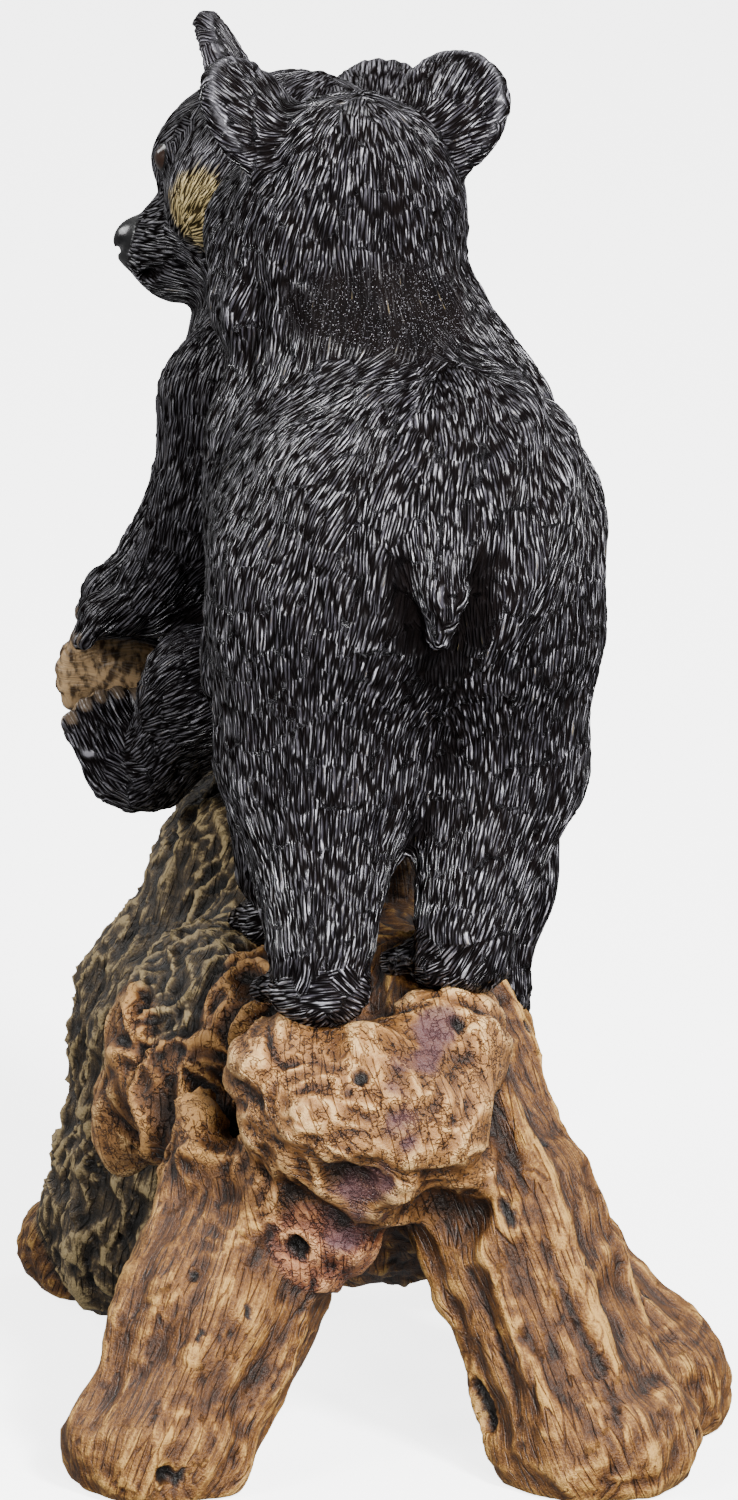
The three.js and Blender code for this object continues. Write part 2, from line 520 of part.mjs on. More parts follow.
// A closed mesh that is thinned by merging its edges, the ones that matter least to its surface first.
class Thinning {
  constructor({ points, corners }) {
    this.points = Float64Array.from(points);
    this.corners = Int32Array.from(corners);
    this.left = corners.length / 3;
    this.around = Array.from({ length: points.length / 3 }, () => []); // the triangles at each vertex
    this.corners.forEach((v, i) => this.around[v].push(Math.floor(i / 3)));
    this.stamps = new Int32Array(this.around.length); // counts the merges that changed each vertex
    this.quadrics = new Float64Array(this.around.length * 10);
    this.spot = [0, 0, 0]; // where the last merge that was looked at would put its vertex
    this.queue = new Queue();
    for (let f = 0; f < this.left; f += 1) this.addQuadric(f);
  }

  // A triangle's normal, twice as long as its area, with vertex v taken to be at the spot.
  normal(f, v = -1) {
    const { points, corners, spot } = this;
    const at = (c, axis) => (corners[3 * f + c] === v ? spot[axis] : points[3 * corners[3 * f + c] + axis]);
    const ux = at(1, 0) - at(0, 0), uy = at(1, 1) - at(0, 1), uz = at(1, 2) - at(0, 2);
    const vx = at(2, 0) - at(0, 0), vy = at(2, 1) - at(0, 1), vz = at(2, 2) - at(0, 2);
    return [uy * vz - uz * vy, uz * vx - ux * vz, ux * vy - uy * vx];
  }

  // Adds the squared distance from a triangle's plane to what its three vertices would lose by moving.
  addQuadric(f) {
    const n = this.normal(f);
    const area = Math.hypot(...n);
    if (area < 1e-12) return;
    const [a, b, c] = scaled(n, 1 / area);
    const v = this.corners[3 * f];
    const d = -(a * this.points[3 * v] + b * this.points[3 * v + 1] + c * this.points[3 * v + 2]);
    const terms = [a * a, a * b, a * c, a * d, b * b, b * c, b * d, c * c, c * d, d * d];
    for (let i = 0; i < 3; i += 1) {
      const base = 10 * this.corners[3 * f + i];
      for (let j = 0; j < 10; j += 1) this.quadrics[base + j] += terms[j] * area;
    }
  }

  // Sets the spot to the best place for the merged vertex, and gives what the merge costs.
  price(a, b) {
    const q = this.quadrics;
    const i = 10 * a, j = 10 * b;
    const m00 = q[i] + q[j], m01 = q[i + 1] + q[j + 1], m02 = q[i + 2] + q[j + 2], b0 = q[i + 3] + q[j + 3];
    const m11 = q[i + 4] + q[j + 4], m12 = q[i + 5] + q[j + 5], b1 = q[i + 6] + q[j + 6];
    const m22 = q[i + 7] + q[j + 7], b2 = q[i + 8] + q[j + 8], rest = q[i + 9] + q[j + 9];
    const error = (x, y, z) => m00 * x * x + m11 * y * y + m22 * z * z + rest
      + 2 * (m01 * x * y + m02 * x * z + m12 * y * z + b0 * x + b1 * y + b2 * z);
    const p = this.points;
    const ax = p[3 * a], ay = p[3 * a + 1], az = p[3 * a + 2];
    const bx = p[3 * b], by = p[3 * b + 1], bz = p[3 * b + 2];
    let least = Infinity;
    const consider = (x, y, z) => {
      const cost = error(x, y, z);
      if (cost >= least) return;
      least = cost;
      this.spot[0] = x;
      this.spot[1] = y;
      this.spot[2] = z;
    };
    consider((ax + bx) / 2, (ay + by) / 2, (az + bz) / 2);
    consider(ax, ay, az);
    consider(bx, by, bz);
    const span = Math.hypot(ax - bx, ay - by, az - bz);
    const c00 = m11 * m22 - m12 * m12, c01 = m02 * m12 - m01 * m22, c02 = m01 * m12 - m02 * m11;
    const det = m00 * c00 + m01 * c01 + m02 * c02;
    if (Math.abs(det) > 1e-6 * (m00 + m11 + m22) ** 3) {
      const c11 = m00 * m22 - m02 * m02, c12 = m01 * m02 - m00 * m12, c22 = m00 * m11 - m01 * m01;
      const x = -(c00 * b0 + c01 * b1 + c02 * b2) / det;
      const y = -(c01 * b0 + c11 * b1 + c12 * b2) / det;
      const z = -(c02 * b0 + c12 * b1 + c22 * b2) / det;
      if (Math.hypot(x - (ax + bx) / 2, y - (ay + by) / 2, z - (az + bz) / 2) < span * 1.5) consider(x, y, z);
    }
    return least + span * span * 0.002; // short edges go first where the surface is flat
  }

  offer(a, b) {
    this.queue.push(this.price(a, b), [a, b, this.stamps[a], this.stamps[b]]);
  }

  neighbours(v) {
    const found = [];
    for (const f of this.around[v]) {
      for (let c = 0; c < 3; c += 1) {
        const w = this.corners[3 * f + c];
        if (w !== v && !found.includes(w)) found.push(w);
      }
    }
    return found;
  }

  has(f, v) {
    return this.corners[3 * f] === v || this.corners[3 * f + 1] === v || this.corners[3 * f + 2] === v;
  }

  // True where moving v to the spot would turn over or flatten a triangle that the merge leaves.
  folds(v, other) {
    for (const f of this.around[v]) {
      if (this.has(f, other)) continue;
      const before = this.normal(f);
      const after = this.normal(f, v);
      const area = Math.hypot(...after);
      if (area < 1e-3 || dot(before, after) < 0.25 * Math.hypot(...before) * area) return true;
    }
    return false;
  }

  merge(a, b) {
    this.points.set(this.spot, 3 * a);
    for (let i = 0; i < 10; i += 1) this.quadrics[10 * a + i] += this.quadrics[10 * b + i];
    for (const f of this.around[b]) {
      if (this.has(f, a)) {
        for (let c = 0; c < 3; c += 1) {
          const v = this.corners[3 * f + c];
          if (v !== b) this.around[v] = this.around[v].filter((g) => g !== f);
        }
        this.corners[3 * f] = -1; // gone
        this.left -= 1;
      } else {
        for (let c = 0; c < 3; c += 1) if (this.corners[3 * f + c] === b) this.corners[3 * f + c] = a;
        this.around[a].push(f);
      }
    }
    this.around[b] = [];
    this.stamps[a] += 1;
    this.stamps[b] += 1;
    for (const w of this.neighbours(a)) this.offer(a, w);
  }

  run(wanted) {
    this.around.forEach((_, v) => {
      for (const w of this.neighbours(v)) if (v < w) this.offer(v, w);
    });
    while (this.left > wanted && this.queue.costs.length) {
      const [a, b, stampA, stampB] = this.queue.pop();
      if (this.stamps[a] !== stampA || this.stamps[b] !== stampB) continue;
      const nearB = this.neighbours(b);
      if (this.neighbours(a).filter((w) => nearB.includes(w)).length !== 2) continue;
      this.price(a, b);
      if (!this.folds(a, b) && !this.folds(b, a)) this.merge(a, b);
    }
    return this;
  }

  mesh() {
    const number = new Map();
    const points = [];
    const corners = [];
    for (let f = 0; f < this.corners.length / 3; f += 1) {
      if (this.corners[3 * f] < 0) continue;
      for (let c = 0; c < 3; c += 1) {
        const v = this.corners[3 * f + c];
        if (!number.has(v)) {
          number.set(v, number.size);
          points.push(...this.points.subarray(3 * v, 3 * v + 3));
        }
        corners.push(number.get(v));
      }
    }
    return { points, corners };
  }
}

const wasm = await Module();
wasm.setup();

const solidOf = ({ points, corners }) => new wasm.Manifold(new wasm.Mesh({
  numProp: 3,
  vertProperties: new Float32Array(points),
  triVerts: new Uint32Array(corners),
}));

const meshOf = (solid) => {
  const { vertProperties, triVerts } = solid.getMesh();
  return { points: [...vertProperties], corners: [...triVerts] };
};

// The same solid with every vertex moved outwards along its normal, to cut a neighbour clear of it.
function grown({ points, corners }, distance) {
  const geometry = new THREE.BufferGeometry();
  geometry.setAttribute('position', new THREE.Float32BufferAttribute(points, 3));
  geometry.setIndex(corners);
  geometry.computeVertexNormals();
  const normals = geometry.getAttribute('normal').array;
  return solidOf({ points: points.map((p, i) => p + normals[i] * distance), corners });
}

// The largest connected shell of a mesh, without chips that a cut leaves behind.
function largestShell({ points, corners }) {
  const parent = points.map((_, i) => i);
  const find = (i) => {
    while (parent[i] !== i) {
      parent[i] = parent[parent[i]];
      i = parent[i];
    }
    return i;
  };
  for (let i = 0; i < corners.length; i += 3) {
    parent[find(corners[i])] = find(corners[i + 1]);
    parent[find(corners[i + 1])] = find(corners[i + 2]);
  }
  const sizes = new Map();
  for (const v of corners) sizes.set(find(v), (sizes.get(find(v)) ?? 0) + 1);
  const [largest] = [...sizes.entries()].sort((p, q) => q[1] - p[1])[0];
  return { points, corners: corners.filter((v) => find(v) === largest) };
}

function pieceMesh(name, { points, corners }, colour, roughness) {
  const geometry = new THREE.BufferGeometry();
  geometry.setAttribute('position', new THREE.Float32BufferAttribute(points, 3));
  geometry.setIndex(corners);
  const merged = mergeVertices(geometry, 1e-4);
  merged.computeVertexNormals();
  const paint = new THREE.MeshStandardMaterial({ color: colour, roughness, metalness: 0 });
  const mesh = new THREE.Mesh(merged, paint);
  mesh.name = name;
  return mesh;
}

// A piece's field, meshed inside a box and thinned.
function formMesh(field, low, high, { step, triangles }) {
  return new Thinning(meshField(field, low, high, step)).run(triangles).mesh();
}

// The same mesh with the vertices of its undersides exactly on the ground.
function onGround({ points, corners }) {
  const flush = 0.8;
  return { points: points.map((p, i) => (i % 3 === 2 && p < flush ? 0 : p)), corners };
}

const wood = stumpField();
const sitting = sittingField(wood);
const standing = standingField(wood);

// Boxes that hold each piece with room to spare.
const spare = 60;
const tallest = Math.max(burlTop + standingCubHeight, seatTop + sittingCubHeight) + spare;
const front = -rootReach - rootRadius - spare / 2;
const stumpMesh = onGround(formMesh(wood, [-160, front, -detail.stump.step / 2], [160, 170, seatTop + 40],
  detail.stump));
const sittingMesh = formMesh(sitting, [-160, 10, seatTop - spare], [90, 225, tallest], detail.sitting);
const standingMesh = formMesh(standing, [-110, -160, burlTop - spare], [135, 135, tallest], detail.standing);

const clearStump = grown(stumpMesh, fitGap);
const seated = largestShell(meshOf(solidOf(sittingMesh).subtract(clearStump)));
const clearSeated = grown(seated, fitGap);
const stood = largestShell(meshOf(solidOf(standingMesh).subtract(clearStump).subtract(clearSeated)));

const sculpture = new THREE.Group();
sculpture.add(
  pieceMesh('tree_stump', stumpMesh, colours.wood, 0.75),
  pieceMesh('sitting_cub', seated, colours.fur, 0.4),
  pieceMesh('standing_cub', stood, colours.fur, 0.4));

// The origin is on the ground under the middle of the whole.
const middle = new THREE.Box3().setFromObject(sculpture).getCenter(new THREE.Vector3());
sculpture.position.set(-middle.x, -middle.y, 0);

export default sculpture;
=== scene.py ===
"""Bear cub sculpture: the tooled and painted surface of cast resin cubs on a tree stump.

Each piece is a form: a function of a point that is negative inside and grows with the distance outside, in
millimetres. The forms are those of the part's solids. Here they are meshed finely, tooled with strokes of
fur, bark and grain that follow each limb, and painted.
"""

import logging
import math
from dataclasses import dataclass, field
from enum import Enum

import bpy
import numpy as np
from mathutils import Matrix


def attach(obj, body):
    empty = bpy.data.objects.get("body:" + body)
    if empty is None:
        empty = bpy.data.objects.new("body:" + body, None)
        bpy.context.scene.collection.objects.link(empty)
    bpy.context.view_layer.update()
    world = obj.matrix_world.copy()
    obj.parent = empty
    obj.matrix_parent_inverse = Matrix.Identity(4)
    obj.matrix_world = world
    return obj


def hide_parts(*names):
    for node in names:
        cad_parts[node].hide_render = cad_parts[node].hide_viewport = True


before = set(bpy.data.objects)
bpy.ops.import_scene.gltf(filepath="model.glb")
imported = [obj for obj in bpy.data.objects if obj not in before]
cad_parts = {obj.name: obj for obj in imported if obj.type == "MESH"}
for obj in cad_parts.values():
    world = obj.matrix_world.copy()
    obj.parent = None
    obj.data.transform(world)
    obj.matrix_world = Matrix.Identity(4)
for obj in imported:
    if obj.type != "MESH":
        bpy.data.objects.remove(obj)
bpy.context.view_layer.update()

import openvdb
from mathutils import Vector, kdtree

log = logging.getLogger("bear_cubs")
Array = np.ndarray
Socket = bpy.types.NodeSocket
MM = 0.001  # one millimetre in metres
COMBS = ("comb_a", "comb_b", "comb_c")  # the names of the three sets of coordinates along the flow

# The part's driving dimensions, in millimetres.
STANDING_CUB_HEIGHT = 306.0
SITTING_CUB_HEIGHT = 250.0
BURL_TOP = 160.0
SEAT_TOP = 200.0
ARCH_HEIGHT = 34.0
ROOT_REACH = 97.0
ROOT_RADIUS = 36.0
TRUNK_RADIUS = 43.0
EAR_HEIGHT = 50.0
EAR_THICKNESS = 7.0
FIT_GAP = 0.35
PAW_SINK = 2.5
CENTRING = (0.72, -18.72)  # from the place where the sculpture is drawn to the middle of its box


def unit(v: Array) -> Array:
    """Gives vectors of length one along v."""
    v = np.asarray(v, float)
    return v / np.maximum(np.linalg.norm(v, axis=-1, keepdims=True), 1e-9)


def smooth(low: float, high: float, x: Array) -> Array:
    """Gives 0 below low and 1 above high, with a smooth rise between them.

    Args:
        low: where the rise starts. It may be above high, and then the values fall.
        high: where it ends.
        x: the values.

    Returns:
        The share of the rise at each value.
    """
    t = np.clip((x - low) / (high - low), 0, 1)
    return t * t * (3 - 2 * t)


class Pose:
    """A local frame: an origin and three unit axes, forward, left and up."""

    def __init__(self, origin: tuple, yaw: float = 0, pitch: float = 0, roll: float = 0) -> None:
        """Turns the axes by roll about forward, then by pitch, nose up, then by yaw about +Z, in degrees.

        Args:
            origin: the frame's middle.
            yaw: the turn about +Z.
            pitch: the turn of the nose up.
            roll: the turn about forward.
        """
        a, b, c = np.radians([yaw, -pitch, roll])
        turn_z = np.array([[math.cos(a), -math.sin(a), 0], [math.sin(a), math.cos(a), 0], [0, 0, 1]])
        turn_y = np.array([[math.cos(b), 0, math.sin(b)], [0, 1, 0], [-math.sin(b), 0, math.cos(b)]])
        turn_x = np.array([[1, 0, 0], [0, math.cos(c), -math.sin(c)], [0, math.sin(c), math.cos(c)]])
        self.origin = np.asarray(origin, float)
        self.axes = (turn_z @ turn_y @ turn_x).T

    @property
    def forward(self) -> Array:
        """The way that the frame faces."""
        return self.axes[0]

    def point(self, x: float, y: float, z: float) -> Array:
        """Gives a local point in the outer frame."""
        return self.origin + self.way(x, y, z)

    def way(self, x: float, y: float, z: float) -> Array:
        """Gives a local direction in the outer frame."""
        return np.array([x, y, z], float) @ self.axes

    def local(self, p: Array) -> Array:
        """Gives outer points in the local frame."""
        return (p - self.origin) @ self.axes.T


class Timber(Enum):
    """What a part of the stump is made to look like."""

    ROOT = "root"
    BARK = "bark"
    BURL = "burl"
    LOBE = "lobe"


@dataclass(frozen=True)
class Along:
    """A grain or a coat that runs one way."""

    way: tuple

    def at(self, p: Array) -> Array:
        """Gives the way at each point."""
        return np.broadcast_to(unit(self.way), p.shape)

    def grain(self, p: Array, length: float, width: float) -> Array:
        """Gives points measured in grains, which are long along the way and narrow across it."""
        way = unit(self.way)
        side = unit(np.cross(way, (0.31, 0.94, 0.13)))
        return np.stack([p @ way / length, p @ side / width, p @ np.cross(way, side) / width], -1)


@dataclass(frozen=True)
class Away:
    """A grain or a coat that runs out from one point."""

    start: tuple

    def at(self, p: Array) -> Array:
        """Gives the way at each point."""
        return unit(p - np.asarray(self.start, float))


class Form:
    """A solid form in millimetres: negative inside, and growing with the distance outside."""

    comb = None
    timber = None

    def distance(self, p: Array) -> Array:
        """Gives the form's value at each point."""
        raise NotImplementedError

    def leaves(self) -> list:
        """Gives the simple forms that this one is made of."""
        return [self]

    def combed(self, comb: Along | Away) -> "Form":
        """Gives every simple form in this one a coat that runs that way."""
        for leaf in self.leaves():
            leaf.comb = comb
        return self

    def of(self, timber: Timber) -> "Form":
        """Says what every simple form in this one is made to look like."""
        for leaf in self.leaves():
            leaf.timber = timber
        return self


class Shaped(Form):
    """A form that is made out of one body."""

    body: Form

    def leaves(self) -> list:
        """Gives the simple forms that the body is made of."""
        return self.body.leaves()


class Ellipsoid(Form):
    """A ball with three radii along the axes of a pose."""

    def __init__(self, centre: tuple, radii: tuple, pose: Pose | None = None) -> None:
        """Keeps its place and size."""
        self.centre = np.asarray(centre, float)
        self.radii = np.asarray(radii, float)
        self.axes = np.eye(3) if pose is None else pose.axes

    def distance(self, p: Array) -> Array:
        """Gives the form's value at each point."""
        q = ((p - self.centre) @ self.axes.T) / self.radii
        near = np.sqrt((q * q).sum(-1))
        q = q / self.radii
        slope = np.sqrt((q * q).sum(-1))
        return np.where(slope < 1e-9, -self.radii.min(), near * (near - 1) / np.maximum(slope, 1e-9))


class Limb(Form):
    """A round limb that tapers from one end to the other, with flutes along it."""

    def __init__(self, a: tuple, b: tuple, ra: float, rb: float, flutes: int = 0, depth: float = 0,
                 twist: float = 0) -> None:
        """Keeps its ends, its radii and its flutes: how many, how deep and how far they turn.

        Args:
            a: one end.
            b: the other end.
            ra: the radius at a.
            rb: the radius at b.
            flutes: how many flutes there are.
            depth: how deep they are.
            twist: how far they turn from end to end.
        """
        self.a = np.asarray(a, float)
        self.span = np.asarray(b, float) - self.a
        self.ra, self.rb = ra, rb
        self.flutes, self.depth, self.twist = flutes, depth, twist
        way = unit(self.span)
        self.side = unit(np.cross(way, (0.31, 0.94, 0.13)))
        self.over = np.cross(way, self.side)
        self.comb = Along(tuple(way))

    def distance(self, p: Array) -> Array:
        """Gives the form's value at each point."""
        d = p - self.a
        t = np.clip(d @ self.span / (self.span @ self.span), 0, 1)
        e = d - t[:, None] * self.span
        radius = self.ra + (self.rb - self.ra) * t
        if self.flutes:
            turn = np.arctan2(e @ self.side, e @ self.over)
            radius = radius + self.depth * np.sin(self.flutes * turn + self.twist * t)
            second = (self.flutes * 2 - 1) * turn + 1.3 - self.twist * t
            radius = radius + 0.5 * self.depth * np.sin(second)
        return np.sqrt((e * e).sum(-1)) - radius


class Dish(Form):
    """A plate of even thickness with a round rim, which stands forward of its middle by the cup."""

    def __init__(self, centre: tuple, wide: float, tall: float, thickness: float, cup: float,
                 axes: Array) -> None:
        """Keeps its place and size. The axes are forward, left and up."""
        self.centre, self.axes = np.asarray(centre, float), axes
        self.edge, self.cup = thickness / 2, cup
        self.reach = np.array([wide, tall]) - self.edge

    def distance(self, p: Array) -> Array:
        """Gives the form's value at each point."""
        q = (p - self.centre) @ self.axes.T
        across = np.hypot(q[:, 1] / self.reach[0], q[:, 2] / self.reach[1])
        a = q[:, 0] - self.cup * np.minimum(across * across, 1.5)
        over = np.hypot(q[:, 1], q[:, 2]) * np.maximum(0, 1 - 1 / np.maximum(across, 1e-6))
        return np.hypot(a, over) - self.edge

    def paint(self, p: Array) -> tuple[Array, Array]:
        """Gives the share from 0 to 1 of the dish's hollow side and of its rim at each point.

        Args:
            p: the points.

        Returns:
            The two shares.
        """
        q = (p - self.centre) @ self.axes.T
        across = np.hypot(q[:, 1] / self.reach[0], q[:, 2] / self.reach[1])
        front = smooth(0.0, self.edge, q[:, 0] - self.cup * across * across)
        near = 1 - smooth(1.5, 3.0, self.distance(p))
        rim = np.exp(-((across - 1.07) / 0.035) ** 2) * smooth(-0.6, 0.2, q[:, 2] / self.reach[1])
        return front * near * (1 - smooth(0.9, 1.05, across)), rim * near


class Locks(Shaped):
    """A form with long locks of fur, which run along an axis and fade out where it comes through."""

    REACH = 38.0  # from the axis to where the locks have their full depth
    WANDER = 0.2  # how far the locks wander, as a share of a lock
    TURN = 20.0  # the distance along the axis in which they wander

    def __init__(self, body: Form, centre: tuple, axis: tuple, count: int, depth: float) -> None:
        """Keeps the body, the locks' axis, their number and their depth.

        Args:
            body: the form that has the locks.
            centre: a point of the axis.
            axis: the axis's way.
            count: how many locks there are.
            depth: how deep they are.
        """
        self.body, self.centre = body, np.asarray(centre, float)
        self.way = unit(axis)
        self.side = unit(np.cross(self.way, (0.31, 0.22, 0.93)))
        self.over = np.cross(self.way, self.side)
        self.count, self.depth = count, depth

    def distance(self, p: Array) -> Array:
        """Gives the form's value at each point."""
        d = p - self.centre
        t = d @ self.way / self.TURN
        a, b = d @ self.side, d @ self.over
        turn = np.arctan2(a, b)
        fade = np.minimum(1, (a * a + b * b) / self.REACH**2)
        wave = np.sin(self.count * turn + self.WANDER * self.count * np.sin(0.7 * t + 2 * turn))
        return self.body.distance(p) - self.depth * fade * wave


class Blend(Form):
    """Forms joined with a fillet of about the given size."""

    def __init__(self, soft: float, *forms: Form) -> None:
        """Keeps the fillet and the forms."""
        self.soft, self.forms = soft, forms

    def distance(self, p: Array) -> Array:
        """Gives the form's value at each point."""
        d = self.forms[0].distance(p)
        for form in self.forms[1:]:
            e = form.distance(p)
            h = np.maximum(self.soft - np.abs(d - e), 0) / self.soft
            d = np.minimum(d, e) - h * h * self.soft * 0.25
        return d

    def leaves(self) -> list:
        """Gives the simple forms that this one is made of."""
        return [leaf for form in self.forms for leaf in form.leaves()]


class Carve(Shaped):
    """A body with cutters taken out of it, with a rounded edge."""

    def __init__(self, soft: float, body: Form, *cutters: Form) -> None:
        """Keeps the edge's size, the body and the cutters."""
        self.soft, self.body, self.cutters = soft, body, cutters

    def distance(self, p: Array) -> Array:
        """Gives the form's value at each point."""
        d = self.body.distance(p)
        for cutter in self.cutters:
            e = -cutter.distance(p)
            h = np.maximum(self.soft - np.abs(d - e), 0) / self.soft
            d = np.maximum(d, e) + h * h * self.soft * 0.25
        return d


class Clear(Shaped):
    """A form cut clear of its neighbours, with a gap between them."""

    def __init__(self, body: Form, gap: float, *neighbours: Form) -> None:
        """Keeps the body, the gap and the neighbours."""
        self.body, self.gap, self.neighbours = body, gap, neighbours

    def contact(self, p: Array) -> Array:
        """Gives the distance to the nearest neighbour at each point."""
        return np.minimum.reduce([form.distance(p) for form in self.neighbours])

    def distance(self, p: Array) -> Array:
        """Gives the form's value at each point."""
        return np.maximum(self.body.distance(p), self.gap - self.contact(p))


def top_of(form: Form, x: float, y: float, start: float) -> float:
    """Finds the highest point of a form over (x, y).

    Args:
        form: the form.
        x: the place to the right.
        y: the place away from the viewer.
        start: a height above the form.

    Returns:
        The height of the form's surface there.
    """
    z = start
    while z > 0:
        d = float(form.distance(np.array([[x, y, z]], float))[0])
        if d <= 0:
            break
        z -= max(0.25, 0.5 * d)
    return z


@dataclass
class Stump:
    """The tree stump: a burl in front, a seat and a bark-covered trunk behind, on five root feet."""

    burl_top: float = BURL_TOP
    seat_top: float = SEAT_TOP
    arch_height: float = ARCH_HEIGHT
    root_reach: float = ROOT_REACH
    root_radius: float = ROOT_RADIUS
    trunk_radius: float = TRUNK_RADIUS

    def burl(self) -> Form:
        """Makes the swollen burl under the standing cub's hind feet."""
        top = self.burl_top
        lobe = Ellipsoid((-17, -82, top - 76), (19, 19, 18)).of(Timber.LOBE)
        low = Ellipsoid((12, -88, top - 56), (24, 22, 18)).of(Timber.BURL)
        high = Blend(9, Ellipsoid((-1, -90, top - 32), (43, 34, 32)),
                     Ellipsoid((27, -74, top - 12), (21, 20, 20)),
                     Ellipsoid((-28, -84, top - 16), (20, 22, 17))).of(Timber.BURL)
        return Blend(9, high, lobe, low)

    def core(self) -> Form:
        """Makes the body between the burl, the seat and the roots."""
        down = Along((0.1, 0, -1))
        return Blend(26, Ellipsoid((0, 20, self.arch_height + 61), (60, 75, 61)).of(Timber.ROOT),
                     Ellipsoid((-4, -4, self.burl_top - 36), (52, 54, 44)).of(Timber.ROOT),
                     Ellipsoid((-48, 22, self.seat_top - 82), (40, 44, 42)).of(Timber.BARK),
                     Ellipsoid((-22, 92, self.seat_top - 42), (50, 48, 42)).of(Timber.BARK),
                     Ellipsoid((14, 62, self.seat_top - 46), (36, 34, 44)).of(Timber.ROOT)).combed(down)

    def trunk(self) -> Form:
        """Makes the bark-covered trunk at the back left."""
        radius = self.trunk_radius
        knee = (-57, 88, 107)
        return Blend(20, Limb((-37, 92, self.seat_top - 38), knee, 31, radius - 2, 9, 1.6, 1),
                     Limb(knee, (-70, 90, 34), radius - 2, radius - 1, 9, 1.6, 1)).of(Timber.BARK)

    def roots(self) -> list[Form]:
        """Makes the five root feet: front right, front left, right, back left and back right."""
        reach, r = self.root_reach, self.root_radius
        knee = (48, -68, 82)
        front_right = Blend(16, Limb((22, -36, self.burl_top - 14), knee, 26, 28, 7, 2.4, 1.5),
                            Limb(knee, (74, -reach + 4, 18), 29, r - 5, 7, 2.6, 1),
                            Ellipsoid((79, -reach, 13), (r - 4, r - 2, 25)))
        knee = (-53, -78, 50)
        front_left = Blend(14, Limb((-30, -40, 100), knee, 35, 31, 6, 2.4, 1.2),
                           Limb(knee, (-69, -reach - 1, 14), 32, r - 6, 6, 2, 1),
                           Ellipsoid((-73, -reach - 4, 13), (r - 5, r - 5, 23)))
        right = Blend(14, Limb((32, -8, 88), (90, -37, 24), 25, 22, 6, 2.2, 1),
                      Ellipsoid((97, -41, 13), (28, 31, 28)))
        back_left = Blend(12, Limb((-62, 92, 46), (-98, 112, 14), 34, 18, 5, 1.8),
                          Ellipsoid((-100, 113, 16), (27, 21, 20)))
        back_right = Blend(14, Limb((20, 62, 84), (50, 98, 22), 35, 26, 6, 2.2, 1),
                           Ellipsoid((55, 102, 12), (31, 28, 22)))
        found = [front_right, front_left, right, back_left, back_right]
        for root in found:
            root.of(Timber.ROOT)
            for leaf in root.leaves():
                leaf.comb = leaf.comb or root.leaves()[-2].comb
        return found

    def shelves(self) -> Form:
        """Makes the burl shelves to the left of the burl."""
        shelves = Blend(6, Ellipsoid((-74, 6, 118), (17, 20, 24)), Ellipsoid((-62, -18, 104), (14, 15, 24)),
                        Ellipsoid((-82, 20, 92), (14, 18, 20)), Limb((-58, -58, 106), (-28, -84, 92), 8, 10))
        return shelves.of(Timber.BURL)

    def form(self) -> "Wood":
        """Makes the whole stump."""
        body = Blend(12, Blend(18, self.core(), self.trunk(), *self.roots()), self.burl(), self.shelves())
        hollows = [Ellipsoid((-46, -50, 122), (11, 22, 22)), Ellipsoid((-40, 2, 168), (12, 26, 10)),
                   Ellipsoid((26, -104, 92), (16, 18, 12)), Ellipsoid((-4, -118, 112), (12, 10, 9))]
        arch_way = Ellipsoid((0, 10, -8), (40, 190, self.arch_height + 8))
        return Wood(Carve(10, Carve(8, body, *hollows), arch_way))


class Wood(Shaped):
    """The stump's form with its low knots, cut off flat on the ground."""

    def __init__(self, body: Form) -> None:
        """Keeps the form under the knots."""
        self.body = body

    def distance(self, p: Array) -> Array:
        """Gives the form's value at each point."""
        x, y, z = p.T
        knots = 1.1 * np.sin(x * 0.14 + 1.7 * np.sin(z * 0.05)) * np.sin(y * 0.12 + z * 0.07)
        knots = knots + 0.7 * np.sin(z * 0.23 + 1.3 * np.sin(x * 0.11)) * np.sin(x * 0.17 - y * 0.15)
        return np.maximum(self.body.distance(p) + knots, -z)


